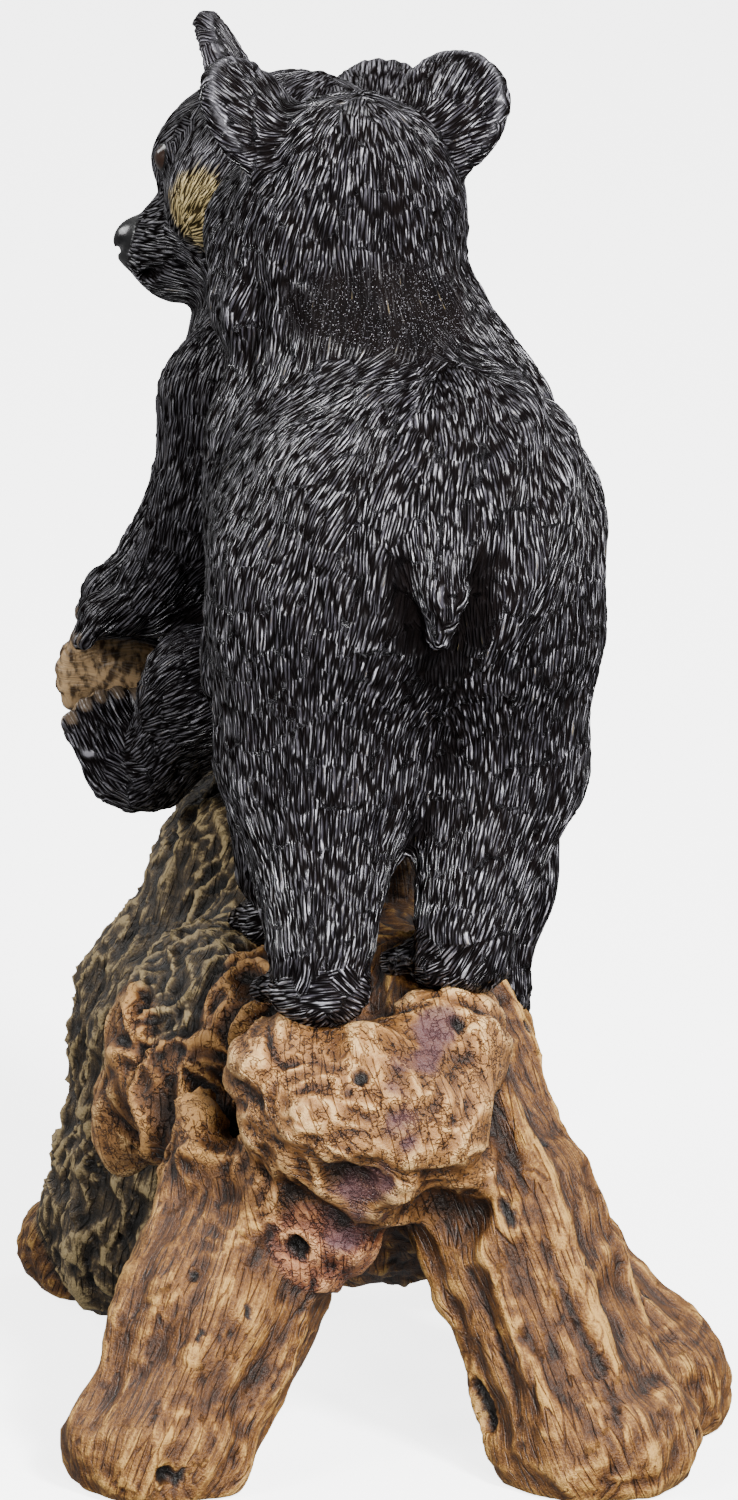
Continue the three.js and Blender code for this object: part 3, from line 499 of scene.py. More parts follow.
@dataclass
class Head:
    """A cub's head in its own frame: forward is the nose's way, and the origin is the middle of the skull."""

    pose: Pose
    size: float
    ear_spread: tuple[float, float]
    ear_tilt: tuple[float, float]
    patch: tuple[float, float]  # the middle of the cheek's tan patch, forward and up
    ears: list["Dish"] = field(default_factory=list)

    EYE = (31.0, 27.5, 8.7)
    EYE_RADIUS = 4.6
    NOSE = (70.0, 0.0, -8.0)

    def at(self, x: float, y: float, z: float) -> Array:
        """Gives a point of the head in the outer frame."""
        return self.pose.point(x * self.size, y * self.size, z * self.size)

    def lump(self, x: float, y: float, z: float, rx: float, ry: float, rz: float) -> Form:
        """Makes a ball in the head's own frame."""
        return Ellipsoid(self.at(x, y, z), np.array([rx, ry, rz]) * self.size, self.pose)

    def ear(self, side: int) -> Form:
        """Makes one ear, a round dish.

        Args:
            side: 1 on the left and -1 on the right.

        Returns:
            The ear and its root.
        """
        k, pose = self.size, self.pose
        index = 0 if side > 0 else 1
        lean = math.radians(34 + self.ear_tilt[index])
        open_ = math.radians(30)
        up = pose.way(0, side * math.sin(lean), math.cos(lean))
        forward = pose.way(math.cos(open_), side * math.sin(open_) * math.cos(lean),
                           -math.sin(open_) * math.sin(lean))
        axes = np.array([forward, unit(np.cross(up, forward)), up])
        half = EAR_HEIGHT * 0.5 * k
        root = pose.point(-13 * k, side * self.ear_spread[index] * k, 9 * k)
        middle = root + up * half * 0.76
        cup = Dish(middle, half * 0.86, half, EAR_THICKNESS * k, EAR_THICKNESS * k * 0.6, axes)
        cup.comb = Away(tuple(root))
        self.ears.append(cup)
        return Blend(5, cup, Limb(root - up * half * 0.4, middle, 11 * k, 4 * k))

    def form(self) -> Form:
        """Makes the whole head."""
        k, at, lump = self.size, self.at, self.lump
        sides = (1, -1)
        skull = Blend(12, lump(-2, 0, 0, 40, 37, 34.5), *[lump(8, s * 20.5, -10, 27, 20, 20) for s in sides],
                      Limb(at(20, 0, -2), at(60, 0, -11.5), 23.5 * k, 15 * k), lump(22, 0, 15, 25, 27, 23),
                      Limb(at(18, 0, -19), at(56, 0, -23), 14 * k, 8 * k),
                      *[lump(32, s * 17, 12, 10, 8, 7) for s in sides]).combed(Away(tuple(at(74, 0, -4))))
        for leaf in skull.leaves()[:3]:
            leaf.comb = Away(tuple(at(-18, 0, 16)))
        face = Carve(1.5, Blend(3, skull, lump(*self.NOSE, 9.5, 13, 10.5)),
                     *[Limb(at(78.5, s * 5.5, -9), at(70, s * 13, -11), 1.7 * k, 1.0 * k) for s in sides],
                     *[Limb(at(64, s * 9, -22), at(36, s * 19, -27), 1.6 * k, 2 * k) for s in sides])
        x, y, z = self.EYE
        eyes = [lump(x, s * y, z, self.EYE_RADIUS, self.EYE_RADIUS, self.EYE_RADIUS - 0.2) for s in sides]
        return Blend(5, Blend(1.5, face, *eyes), *[self.ear(s) for s in sides])

    def local(self, p: Array) -> Array:
        """Gives points in the head's own frame, for a head of size one."""
        return self.pose.local(p) / self.size

    def paint(self, p: Array) -> dict[str, Array]:
        """Finds where the head's painted places are.

        Args:
            p: the points.

        Returns:
            The share from 0 to 1 of the nose, the cheek's tan patch, the short fur of the face, the ears'
            bare insides and their rims at each point.
        """
        q = self.local(p)
        nose = 1 - smooth(0.0, 1.5, Ellipsoid((68, 0, -8), (13, 16, 10)).distance(q))
        x, z = self.patch
        away = np.hypot((q[:, 0] - x) / 15, (q[:, 2] - z) / 14)
        across, up = np.abs(q[:, 1]), np.abs(q[:, 2])
        patch = (1 - smooth(0.3, 1.45, away)) * smooth(8, 14, across) * (1 - smooth(48, 55, across))
        face = smooth(-5, 35, q[:, 0]) * (1 - smooth(45, 60, across)) * (1 - smooth(35, 50, up))
        insides, rims = zip(*[ear.paint(p) for ear in self.ears])
        return {"nose": nose, "patch": patch * (1 - nose), "face": face, "inner_ear": np.maximum(*insides),
                "rim": np.maximum(*rims)}


@dataclass
class Paw:
    """A paw with five toes, pointing along its pose's forward axis, its sole facing down."""

    pose: Pose
    length: float
    width: float
    height: float
    bare: bool = False  # a sole without fur

    @property
    def toe(self) -> float:
        """The radius of a toe."""
        return self.width / 7.4

    def toe_places(self) -> list[tuple[float, float]]:
        """Gives each toe's reach forward and its place to the left."""
        return [(self.length * 0.44 - i * i * self.toe * 0.22, i * self.toe * 1.42) for i in range(-2, 3)]

    def form(self) -> Form:
        """Makes the pad and the toes."""
        at, toe, height = self.pose.point, self.toe, self.height
        toes = [Limb(at(self.length * 0.12, left * 0.86, 0), at(reach, left, -height * 0.2), toe * 1.1, toe)
                for reach, left in self.toe_places()]
        radii = (self.length * 0.42, self.width * 0.47, height * 0.5)
        pad = Ellipsoid(at(-self.length * 0.06, 0, 0), radii, self.pose)
        pad.comb = Along(tuple(self.pose.forward))
        return Blend(2.2, pad, *toes)

    def claws(self) -> Form:
        """Makes the claws, one at the end of each toe."""
        at, toe, height = self.pose.point, self.toe, self.height
        return Blend(0.5, *[Limb(at(reach + toe * 0.5, left, -height * 0.05),
                                 at(reach + toe * 1.9, left * 1.03, -height * 0.38), toe * 0.5, toe * 0.24)
                            for reach, left in self.toe_places()])

    def sole(self, p: Array) -> Array:
        """Gives the share from 0 to 1 of bare sole at each point.

        Args:
            p: the points.

        Returns:
            The shares.
        """
        q = self.pose.local(p)
        under = smooth(-0.10 * self.height, -0.22 * self.height, q[:, 2])
        within = 1 - smooth(0.5, 0.62, np.abs(q[:, 1]) / self.width)
        ends = (1 - smooth(0.62, 0.75, q[:, 0] / self.length)) * smooth(-0.62, -0.5, q[:, 0] / self.length)
        return under * within * ends * (q[:, 2] > -self.height)


@dataclass
class Cub:
    """A cub, drawn at one size and then moved to where it stands and scaled with its height."""

    wood: Form
    height: float = 0.0
    drawn: float = 1.0
    paws: list[Paw] = field(default_factory=list)
    head: Head | None = None

    FUR = (5, 0.6, 1.2)  # the flutes of a limb: how many, how deep and how far they turn

    @property
    def k(self) -> float:
        """How much larger the cub is than it is drawn."""
        return self.height / self.drawn

    def stand(self, drawn: tuple, place: tuple) -> None:
        """Says which drawn point of the cub comes to which place."""
        self.drawn_point, self.place = np.array(drawn), np.array(place, float)

    def at(self, x: float, y: float, z: float) -> Array:
        """Gives the place of a drawn point."""
        return self.place + (np.array([x, y, z]) - self.drawn_point) * self.k

    def flesh(self, a: tuple | Array, b: tuple | Array, ra: float, rb: float) -> Form:
        """Makes a stretch of a limb between two ends: a drawn point in a tuple or a place in an array."""
        ends = [self.at(*end) if isinstance(end, tuple) else end for end in (a, b)]
        return Limb(*ends, ra * self.k, rb * self.k, *self.FUR)

    def mass(self, x: float, y: float, z: float, rx: float, ry: float, rz: float,
             pose: Pose | None = None) -> Form:
        """Makes a rounded part of the body."""
        return Ellipsoid(self.at(x, y, z), np.array([rx, ry, rz]) * self.k, pose)

    def calm(self, p: Array) -> Array:
        """Gives the share from 0 to 1 of smoother fur at each point, of which there may be none."""
        return np.zeros(len(p))

    def shade(self, p: Array) -> Array:
        """Gives the share from 0 to 1 of painted shade, plain black, at each point, of which there may be
        none.
        """
        return np.zeros(len(p))


@dataclass
class StandingCub(Cub):
    """The cub seen from behind: hind feet on the burl, forefeet further back on the stump."""

    height: float = STANDING_CUB_HEIGHT
    drawn: float = 306.0
    hollow: Form | None = None  # around the tail
    tail: Form | None = None

    def on_wood(self, x: float, y: float, lift: float) -> Array:
        """Gives a place on the stump under (x, y), raised by the lift."""
        px, py = self.at(x, y, 0)[:2]
        return np.array([px, py, top_of(self.wood, px, py, BURL_TOP + 60) + lift * self.k - PAW_SINK])

    def torso(self) -> Form:
        """Makes the haunches, the ribs, the shoulders and the neck."""
        k, at, flesh, mass = self.k, self.at, self.flesh, self.mass
        crest = Away(tuple(at(27, -32, 369)))
        crown = Away(tuple(at(-8, 6, 450)))
        haunches = Blend(20 * k, mass(10, -46, 315, 63, 54, 58), mass(39, -44, 319, 38.5, 49, 56))
        ribs = mass(2, -8, 318, 53, 56, 50)
        for part in (haunches, ribs):
            part.combed(crest)
        shoulders = mass(2, 12, 350, 46, 42, 42, Pose(at(0, 0, 0), yaw=90, pitch=38))
        neck = Blend(8 * k, flesh((3, 12, 362), (-9.5, 12, 404), 43, 36.5), mass(-38, 12, 388, 17, 20, 22),
                     mass(-37, 24, 409, 19, 20, 21))
        for part in (shoulders, neck):
            part.combed(crown)
        return Blend(20 * k, Locks(haunches, at(14, -46, 316), (0, 0.75, 0.66), 13, 1.2 * k), ribs,
                     shoulders, Locks(neck, at(-4, 12, 380), (-0.2, 0, 1), 11, 1.1 * k))

    def body(self) -> Form:
        """Makes the whole cub, before its neighbours are cut out of it."""
        self.stand((8, -78, 160), (8, -78, BURL_TOP))
        k, at, flesh = self.k, self.at, self.flesh
        hind_left, hind_right = self.on_wood(-16, -84, 14), self.on_wood(34, -68, 14)
        fore_left = self.on_wood(-32, 8, 10)
        fore_right = at(43, 2, 142)

        def ankle(paw: Array, y: float, z: float) -> Array:
            """Gives a place away from and above a paw."""
            return paw + np.array([0, y, z]) * k

        legs = Blend(15 * k, self.torso(),
                     Blend(14 * k, flesh((-14, -52, 290), (-15, -50, 246), 41, 36),
                           flesh((-16, -48, 240), ankle(hind_left, 4, 14), 32, 18.5)),
                     Blend(14 * k, flesh((46, -46, 284), (46.5, -42, 242), 34, 27),
                           flesh((46, -42, 236), ankle(hind_right, 2, 12), 26, 18)),
                     Blend(12 * k, flesh((-30, 8, 340), (-37, -2, 262), 26, 18),
                           flesh((-37, -2, 262), ankle(fore_left, -4, 18), 18, 13.5)),
                     Blend(12 * k, flesh((36, 14, 342), (55, 4, 240), 29, 18),
                           flesh((55, 4, 240), (50, 4, 182), 18, 12.5),
                           flesh((50, 4, 182), fore_right, 12.5, 10)))
        hind = np.array([50, 37, 24]) * k
        fore = np.array([36, 30, 20]) * k
        self.paws = [Paw(Pose(hind_left + np.array([-2, 6, -3]) * k, yaw=104), *hind),
                     Paw(Pose(hind_right + np.array([-5, 9, -3]) * k, yaw=118), *hind),
                     Paw(Pose(fore_left + np.array([0, 5, -1]) * k, yaw=100), *fore),
                     Paw(Pose(fore_right + np.array([-1, 6, -2]) * k, yaw=95, pitch=-52), *fore)]
        self.tail = Blend(4, flesh((24, -93, 334), (25, -102, 314), 8.5, 7.5),
                          flesh((25, -102, 314), (24, -102, 299), 7.5, 4))
        creases = [flesh((10, -103, 322), (16, -103, 297), 2, 5.5),
                   flesh((38, -101, 322), (33, -102, 297), 2, 5.5),
                   flesh((24.5, -103, 292), (21, -88, 246), 6.5, 6.5)]
        self.hollow = Blend(3, *creases)
        rump = Blend(3 * k, Carve(5 * k, legs, *creases), self.tail)
        self.head = Head(Pose(at(-7, 16, 424), yaw=107, pitch=-30, roll=2), k, (22, 25), (-7, -7), (46, -16))
        return Blend(10 * k, Blend(7 * k, rump, *[paw.form() for paw in self.paws]), self.head.form())

    def calm(self, p: Array) -> Array:
        """Gives the share from 0 to 1 of the smoother saddle behind the neck at each point."""
        return 1 - smooth(-5, 9, Ellipsoid((6, -22, 392), (32, 22, 14)).distance(p))

    def shade(self, p: Array) -> Array:
        """Gives the share from 0 to 1 of painted shade, plain black, in the hollow around the tail at each
        point.
        """
        return 0.85 * (1 - smooth(0, 8, self.hollow.distance(p))) * smooth(0.5, 3, self.tail.distance(p))


@dataclass
class SittingCub(Cub):
    """The cub that faces left, holds its hind feet sole to sole and looks over its shoulder, away."""

    height: float = SITTING_CUB_HEIGHT
    drawn: float = 250.0

    def body(self) -> Form:
        """Makes the whole cub, before its neighbours are cut out of it."""
        top = max(SEAT_TOP, top_of(self.wood, -28, 106, SEAT_TOP + 40))
        self.stand((-28, 106, 200), (-28, 106, top - PAW_SINK))
        k, at, flesh, mass = self.k, self.at, self.flesh, self.mass
        down = Away(tuple(at(-10, 108, 420)))
        belly = Blend(22 * k, mass(-16, 107, 240, 51, 51, 44), mass(-22, 107, 288, 43, 46, 50)).combed(down)
        torso = Blend(22 * k, Locks(belly, at(-18, 107, 260), (0, 0, 1), 12, 1.1 * k),
                      mass(-22, 110, 336, 38, 43, 40).combed(down),
                      flesh((-18, 111, 350), (-26, 114, 398), 34, 31).combed(down))
        legs = Blend(10 * k, flesh((-20, 78, 232), (-58, 60, 238), 30, 20),
                     flesh((-58, 60, 236), (-76, 78, 202), 20, 13),
                     flesh((-20, 134, 232), (-58, 149, 238), 30, 20),
                     flesh((-58, 149, 236), (-71, 126, 218), 20, 12))
        arms = Blend(10 * k, flesh((-48, 84, 336), (-53, 77, 300), 26, 21),
                     flesh((-53, 77, 300), (-80, 84, 262), 20, 11.5),
                     flesh((-38, 136, 344), (-53, 136, 297), 25, 20.5),
                     flesh((-53, 136, 297), (-82, 120, 262), 19.5, 11))
        hand = np.array([26, 24, 17]) * k
        foot = np.array([44, 32, 18]) * k
        self.paws = [Paw(Pose(at(-93, 85, 258), yaw=180, pitch=-28), *hand),
                     Paw(Pose(at(-92.5, 118, 258), yaw=190, pitch=-30), *hand),
                     Paw(Pose(at(-87, 80, 209), yaw=180, pitch=72, roll=-78), *foot, bare=True),
                     Paw(Pose(at(-87, 103, 233), yaw=180, pitch=8, roll=74), *foot, bare=True)]
        self.head = Head(Pose(at(-28.5, 114, 411), yaw=143, pitch=-24, roll=21), k, (26, 32), (-9, -5),
                         (9, -18))
        paws = [paw.form() for paw in self.paws]
        limbs = Blend(5 * k, Blend(14 * k, torso, Blend(12 * k, legs, arms)), *paws)
        return Blend(9 * k, limbs, self.head.form())


class Skin:
    """A fine mesh of a form, with what is worked out at each of its vertices."""

    BLOCK = 8  # samples along a block's edge; a block far from the surface isn't sampled

    def __init__(self, form: Form, low: tuple, high: tuple, step: float) -> None:
        """Samples a form in a box and meshes it.

        Args:
            form: the form.
            low: the box's lowest corner.
            high: its highest corner.
            step: the distance between samples.
        """
        self.form = form
        low = np.asarray(low, float)
        count = np.ceil((np.asarray(high, float) - low) / step / self.BLOCK).astype(int)
        values = self.sample(low, count, step)
        grid = openvdb.FloatGrid()
        grid.copyFromArray(values)
        points, quads = grid.convertToQuads(isovalue=0.0)
        self.points = low + step * points.astype(float)
        self.quads = quads.astype(np.int64)
        a, b, c, d = (self.points[self.quads[:, i]] for i in range(4))
        if (a * np.cross(c - a, d - b)).sum() < 0:
            self.quads = self.quads[:, ::-1].copy()
        self.normals = self.find_normals()

    def sample(self, low: Array, count: Array, step: float) -> Array:
        """Samples the form on a grid of blocks.

        Args:
            low: the grid's lowest corner.
            count: the number of blocks each way.
            step: the distance between samples.

        Returns:
            The samples, cut off a few steps from the surface.
        """
        block = self.BLOCK
        cells = np.stack(np.meshgrid(*[np.arange(n) for n in count], indexing="ij"), -1).reshape(-1, 3)
        middle = self.form.distance(low + step * (cells * block + (block - 1) / 2))
        band = 3 * step
        values = np.empty((len(cells), block**3), np.float32)
        values[:] = np.clip(middle, -band, band)[:, None]
        inner = np.stack(np.meshgrid(*[np.arange(block)] * 3, indexing="ij"), -1).reshape(-1, 3)
        near = np.flatnonzero(np.abs(middle) < block * step * 1.1)
        for chunk in np.array_split(near, max(1, len(near) // 48)):
            p = low + step * (cells[chunk][:, None] * block + inner)
            found = self.form.distance(p.reshape(-1, 3)).reshape(len(chunk), -1)
            values[chunk] = np.clip(found, -band, band)
        shape = (*count, block, block, block)
        return values.reshape(shape).transpose(0, 3, 1, 4, 2, 5).reshape(count * block)

    def find_normals(self) -> Array:
        """Works out the normal at each vertex."""
        a, b, c, d = (self.points[self.quads[:, i]] for i in range(4))
        flat = np.cross(c - a, d - b)
        total = [sum(np.bincount(self.quads[:, i], flat[:, axis], len(self.points)) for i in range(4))
                 for axis in range(3)]
        return unit(np.stack(total, -1))

    def spread(self, values: Array, times: int) -> Array:
        """Averages values over neighbouring vertices.

        Args:
            values: one row for each vertex.
            times: how often.

        Returns:
            The averaged rows.
        """
        pairs = np.concatenate([self.quads[:, [i, (i + 1) % 4]] for i in range(4)])
        share = np.bincount(pairs[:, 0], minlength=len(values))[:, None] + 1.0
        for _ in range(times):
            total = [np.bincount(pairs[:, 0], column[pairs[:, 1]], len(values)) for column in values.T]
            values = (values + np.stack(total, -1)) / share
        return values

    def leaf_shares(self, softness: float) -> list[tuple[Form, Array]]:
        """Says how far each simple form makes the surface at each vertex."""
        return [(leaf, np.exp(-np.maximum(leaf.distance(self.points), 0) / softness))
                for leaf in self.form.leaves()]

    def cavity(self, times: int) -> Array:
        """Gives how far each vertex lies below the average of its neighbourhood, in millimetres."""
        return ((self.spread(self.points, times) - self.points) * self.normals).sum(-1)

    def relief(self, fine: float, broad: float) -> Array:
        """Gives 0 in the cavities, about a half where the surface is plain and 1 on the ridges.

        Args:
            fine: the height of a small ridge, in millimetres.
            broad: the height of a broad one.

        Returns:
            The relief at each vertex.
        """
        self.normals = self.find_normals()
        return np.clip(0.5 - 0.25 * self.cavity(3) / fine - 0.25 * self.cavity(24) / broad, 0, 1)

    def flow(self, softness: float = 5.0) -> Array:
        """Works out which way the coat or the grain runs at each vertex, along the surface.

        Args:
            softness: how far the simple forms blend into each other.

        Returns:
            A unit vector for each vertex.
        """
        total = np.zeros_like(self.points)
        for leaf, share in self.leaf_shares(softness):
            if leaf.comb is not None:
                total += share[:, None] * leaf.comb.at(self.points)
        total += 1e-3 * np.array([0.2, 0.3, -1.0])
        for _ in range(3):
            total = unit(total - (total * self.normals).sum(-1, keepdims=True) * self.normals)
            total = self.spread(total, 3)
        return unit(total - (total * self.normals).sum(-1, keepdims=True) * self.normals)


@dataclass
class Patches:
    """Small overlapping patches of flow-aligned coordinates, so that strokes can follow a curved surface.

    Each vertex has three sets of coordinates along and across the flow, in millimetres, and their weights. A
    set's weight is nothing where its patches meet, and there another set takes over.
    """

    skin: Skin
    flow: Array
    spacing: float
    seed: int
    sets: list[Array] = field(default_factory=list)

    def __post_init__(self) -> None:
        """Lays the three sets of patches."""
        rng = np.random.default_rng(self.seed)
        raw = [self.lay(rng) for _ in range(3)]
        total = sum(one[:, 2] for one in raw)
        for one in raw:
            one[:, 2] /= total
        self.sets = raw

    def lay(self, rng: np.random.Generator) -> Array:
        """Lays one set of patches.

        Args:
            rng: the source of random numbers.

        Returns:
            The coordinate along the flow, the coordinate across it and the weight at each vertex.
        """
        points, normals = self.skin.points, self.skin.normals
        order = rng.permutation(len(points))
        cell = np.floor((points[order] + rng.uniform(0, self.spacing, 3)) / self.spacing).astype(np.int64)
        key = (cell[:, 0] * 4096 + cell[:, 1]) * 4096 + cell[:, 2]
        seeds = order[np.unique(key, return_index=True)[1]]
        tree = kdtree.KDTree(len(seeds))
        for i, v in enumerate(seeds):
            tree.insert(points[v], i)
        tree.balance()
        nearest = np.empty(len(points), np.int64)
        margin = np.empty(len(points))
        for i, p in enumerate(points):
            (_, first, near), (_, _, far) = tree.find_n(p, 2)
            nearest[i] = first
            margin[i] = far - near
        at = seeds[nearest]
        offset = points - points[at]
        along = self.flow[at]
        across = np.cross(normals[at], along)
        shift = rng.uniform(0, 400, (len(seeds), 2))[nearest]
        u = (offset * along).sum(-1) + shift[:, 0]
        v = (offset * across).sum(-1) + shift[:, 1]
        weight = (np.maximum(margin - 1.5, 0) / self.spacing + 1e-3) ** 6
        return np.stack([u, v, weight], -1)

    def strokes(self, length: float, width: float, seed: int) -> Array:
        """Gives the height from 0 to 1 of tapering strokes at each vertex."""
        return sum(one[:, 2] * stroke_height(one[:, 0], one[:, 1], length, width, seed) for one in self.sets)


def hashed(a: Array, b: Array, seed: int) -> Array:
    """Gives a repeatable random number from 0 to 1 for each pair of whole numbers.

    Args:
        a: the first of each pair.
        b: the second of each pair.
        seed: picks other numbers.

    Returns:
        The numbers.
    """
    x = a.astype(np.int64) * 374761393 + b.astype(np.int64) * 668265263 + seed * 2147483647
    x = (x ^ (x >> 13)) * 1274126177
    x = x ^ (x >> 16)
    return (x & 0xFFFFFF) / float(0xFFFFFF)


def stroke_height(u: Array, v: Array, length: float, width: float, seed: int) -> Array:
    """Gives the height of rows of strokes, each blunt at its root and pointed at its tip.

    Args:
        u: the coordinate along the strokes.
        v: the coordinate across them.
        length: a stroke's length.
        width: the distance between rows.
        seed: picks another set of strokes.

    Returns:
        The height, from 0 in the grooves to 1 on the ridges.
    """
    v = v + 0.22 * width * np.sin(u * 2 * math.pi / (length * 1.7) + v / width)
    row = np.floor(v / width)
    place = u / length + hashed(row, row * 0, seed)
    column = np.floor(place)
    s = place - column
    t = 2 * (v / width - row - 0.5) - 0.5 * (hashed(row, column, seed + 1) - 0.5)
    half = np.minimum(1, np.sqrt(s * 6)) * (1 - s) ** 0.55 * 1.15
    lift = 0.65 + 0.35 * hashed(row, column, seed + 2)
    return lift * np.clip(1 - (t / np.maximum(half, 0.05)) ** 2, 0, 1)


def ridges(p: Array, size: float, seed: int, sharpness: float = 1.0) -> Array:
    """Gives a net of ridges over a noise: 1 along the ridges and 0 between them.

    Args:
        p: the points.
        size: about the distance between ridges, in the points' own unit.
        seed: picks another net.
        sharpness: above 1 for thin ridges and below 1 for thin valleys.

    Returns:
        The height at each point.
    """
    return (1 - np.abs(2 * value_noise(p, size, seed) - 1) * 1.6).clip(0, 1) ** sharpness


def value_noise(p: Array, size: float, seed: int) -> Array:
    """Gives smooth noise from 0 to 1 at each point.

    Args:
        p: the points.
        size: the size of a lump of the noise, in the points' own unit.
        seed: picks another noise.

    Returns:
        The noise.
    """
    q = p / size
    cell = np.floor(q)
    f = q - cell
    f = f * f * (3 - 2 * f)
    total = np.zeros(len(p))
    for i in (0, 1):
        for j in (0, 1):
            for k in (0, 1):
                corner = hashed((cell[:, 0] + i) * 59 + (cell[:, 2] + k) * 7919, cell[:, 1] + j, seed)
                weight = np.abs(1 - i - f[:, 0]) * np.abs(1 - j - f[:, 1]) * np.abs(1 - k - f[:, 2])
                total += weight * corner
    return total


def to_linear(colour: str) -> tuple[float, float, float, float]:
    """Turns an sRGB hex colour into the linear numbers that a shader takes."""
    channels = [int(colour[i:i + 2], 16) / 255 for i in (1, 3, 5)]
    linear = [c / 12.92 if c <= 0.04045 else ((c + 0.055) / 1.055) ** 2.4 for c in channels]
    return (*linear, 1.0)


class Pattern(Enum):
    """A texture of strokes along the flow."""

    CELLS = "separate rounded strokes"
    STREAKS = "streaks that run into each other"


class Shader:
    """A material with a principled shader, and the steps that its node tree is built of."""

    CELL_HEIGHT = 2.2  # brings the middle of a cell to about 1

    def __init__(self, name: str) -> None:
        """Makes the material."""
        self.material = bpy.data.materials.new(name)
        self.material.use_nodes = True
        self.tree = self.material.node_tree
        self.principled = self.tree.nodes["Principled BSDF"]

    def add(self, kind: str, settings: dict | None = None, inputs: dict | None = None) -> bpy.types.Node:
        """Adds a node with its settings and links.

        Args:
            kind: the node's type name after ShaderNode.
            settings: attributes of the node.
            inputs: a value or another node's output for each input, by name or number.

        Returns:
            The node.
        """
        node = self.tree.nodes.new("ShaderNode" + kind)
        for name, value in (settings or {}).items():
            setattr(node, name, value)
        self.feed(node, inputs or {})
        return node

    def feed(self, node: bpy.types.Node, inputs: dict) -> None:
        """Sets a node's inputs to the values, or links them to the outputs, by name or number.

        Args:
            node: the node.
            inputs: a value or another node's output for each input.
        """
        for key, value in inputs.items():
            if isinstance(value, Socket):
                self.tree.links.new(value, node.inputs[key])
            else:
                node.inputs[key].default_value = value

    def maths(self, operation: str, *values: Socket | float) -> Socket:
        """Adds a Math node, and gives its result."""
        return self.add("Math", {"operation": operation}, dict(enumerate(values))).outputs[0]

    def times(self, a: Socket | float, b: Socket | float) -> Socket:
        """Multiplies two numbers."""
        return self.maths("MULTIPLY", a, b)

    def plus(self, a: Socket | float, b: Socket | float) -> Socket:
        """Adds two numbers."""
        return self.maths("ADD", a, b)

    def less(self, a: Socket | float, b: Socket | float) -> Socket:
        """Takes the second number from the first."""
        return self.maths("SUBTRACT", a, b)

    def most(self, a: Socket | float, b: Socket | float) -> Socket:
        """Gives the larger of two numbers."""
        return self.maths("MAXIMUM", a, b)

    def step(self, value: Socket, low: float, high: float) -> Socket:
        """Gives 0 where a value is at low and 1 where it is at high, with a smooth step between them."""
        settings = {"interpolation_type": "SMOOTHSTEP"}
        return self.add("MapRange", settings, {0: value, 1: low, 2: high}).outputs[0]

    def ramp(self, factor: Socket, stops: dict[float, str]) -> Socket:
        """Adds a colour ramp through the given sRGB stops, and gives its colour.

        Args:
            factor: the place on the ramp.
            stops: the colour at each place.

        Returns:
            The ramp's colour.
        """
        node = self.add("ValToRGB", inputs={0: factor})
        elements = node.color_ramp.elements
        for i, (place, colour) in enumerate(stops.items()):
            element = elements[i] if i < 2 else elements.new(place)
            element.position = place
            element.color = to_linear(colour)
        return node.outputs[0]

    def mix(self, factor: Socket | float, a: Socket | str, b: Socket | str) -> Socket:
        """Mixes two colours by a factor, and gives the mixed colour."""
        a, b = (to_linear(colour) if isinstance(colour, str) else colour for colour in (a, b))
        return self.add("Mix", {"data_type": "RGBA"}, {0: factor, 6: a, 7: b}).outputs[2]

    def mix_value(self, factor: Socket, a: Socket | float, b: Socket | float) -> Socket:
        """Mixes two numbers by a factor, and gives the mixed number."""
        return self.add("Mix", {"data_type": "FLOAT"}, {0: factor, 2: a, 3: b}).outputs[0]

    def read(self, name: str) -> Socket:
        """Reads a number that is stored at each vertex."""
        return self.add("Attribute", {"attribute_name": name}).outputs["Fac"]

    def noise(self, scale: float, detail: float, roughness: float = 0.5) -> Socket:
        """Gives smooth noise from about 0 to 1. The scale is in lumps to a metre."""
        inputs = {"Scale": scale, "Detail": detail, "Roughness": roughness}
        return self.add("TexNoise", inputs=inputs).outputs[0]

    def vector(self, operation: str, inputs: dict) -> bpy.types.Node:
        """Adds a Vector Math node."""
        return self.add("VectorMath", {"operation": operation}, inputs)

    def place(self) -> Socket:
        """Gives the place on the object, in metres."""
        return self.add("TexCoord").outputs["Object"]

    def strokes(self, length: float, width: float, pattern: Pattern) -> Socket:
        """Lays a texture of strokes along the flow, and gives its value, from about 0 to 1.

        Args:
            length: a stroke's length in millimetres.
            width: a stroke's width in millimetres.
            pattern: the kind of strokes.

        Returns:
            The texture's value.
        """
        total = None
        for name in COMBS:
            comb = self.add("Attribute", {"attribute_name": name})
            parts = self.add("SeparateXYZ", inputs={0: comb.outputs["Vector"]}).outputs
            along, across = self.maths("DIVIDE", parts[0], length), self.maths("DIVIDE", parts[1], width)
            place = self.add("CombineXYZ", inputs={0: along, 1: across}).outputs[0]
            if pattern is Pattern.CELLS:
                settings = {"voronoi_dimensions": "2D", "feature": "DISTANCE_TO_EDGE"}
                inputs = {"Vector": place, "Scale": 1.0, "Randomness": 1.0}
                texture = self.add("TexVoronoi", settings, inputs)
                value = self.times(texture.outputs["Distance"], self.CELL_HEIGHT)
            else:
                inputs = {"Vector": place, "Scale": 1.0, "Detail": 3.0, "Roughness": 0.6}
                value = self.add("TexNoise", {"noise_dimensions": "2D"}, inputs).outputs[0]
            value = self.times(value, parts[2])
            total = value if total is None else self.plus(total, value)
        return total


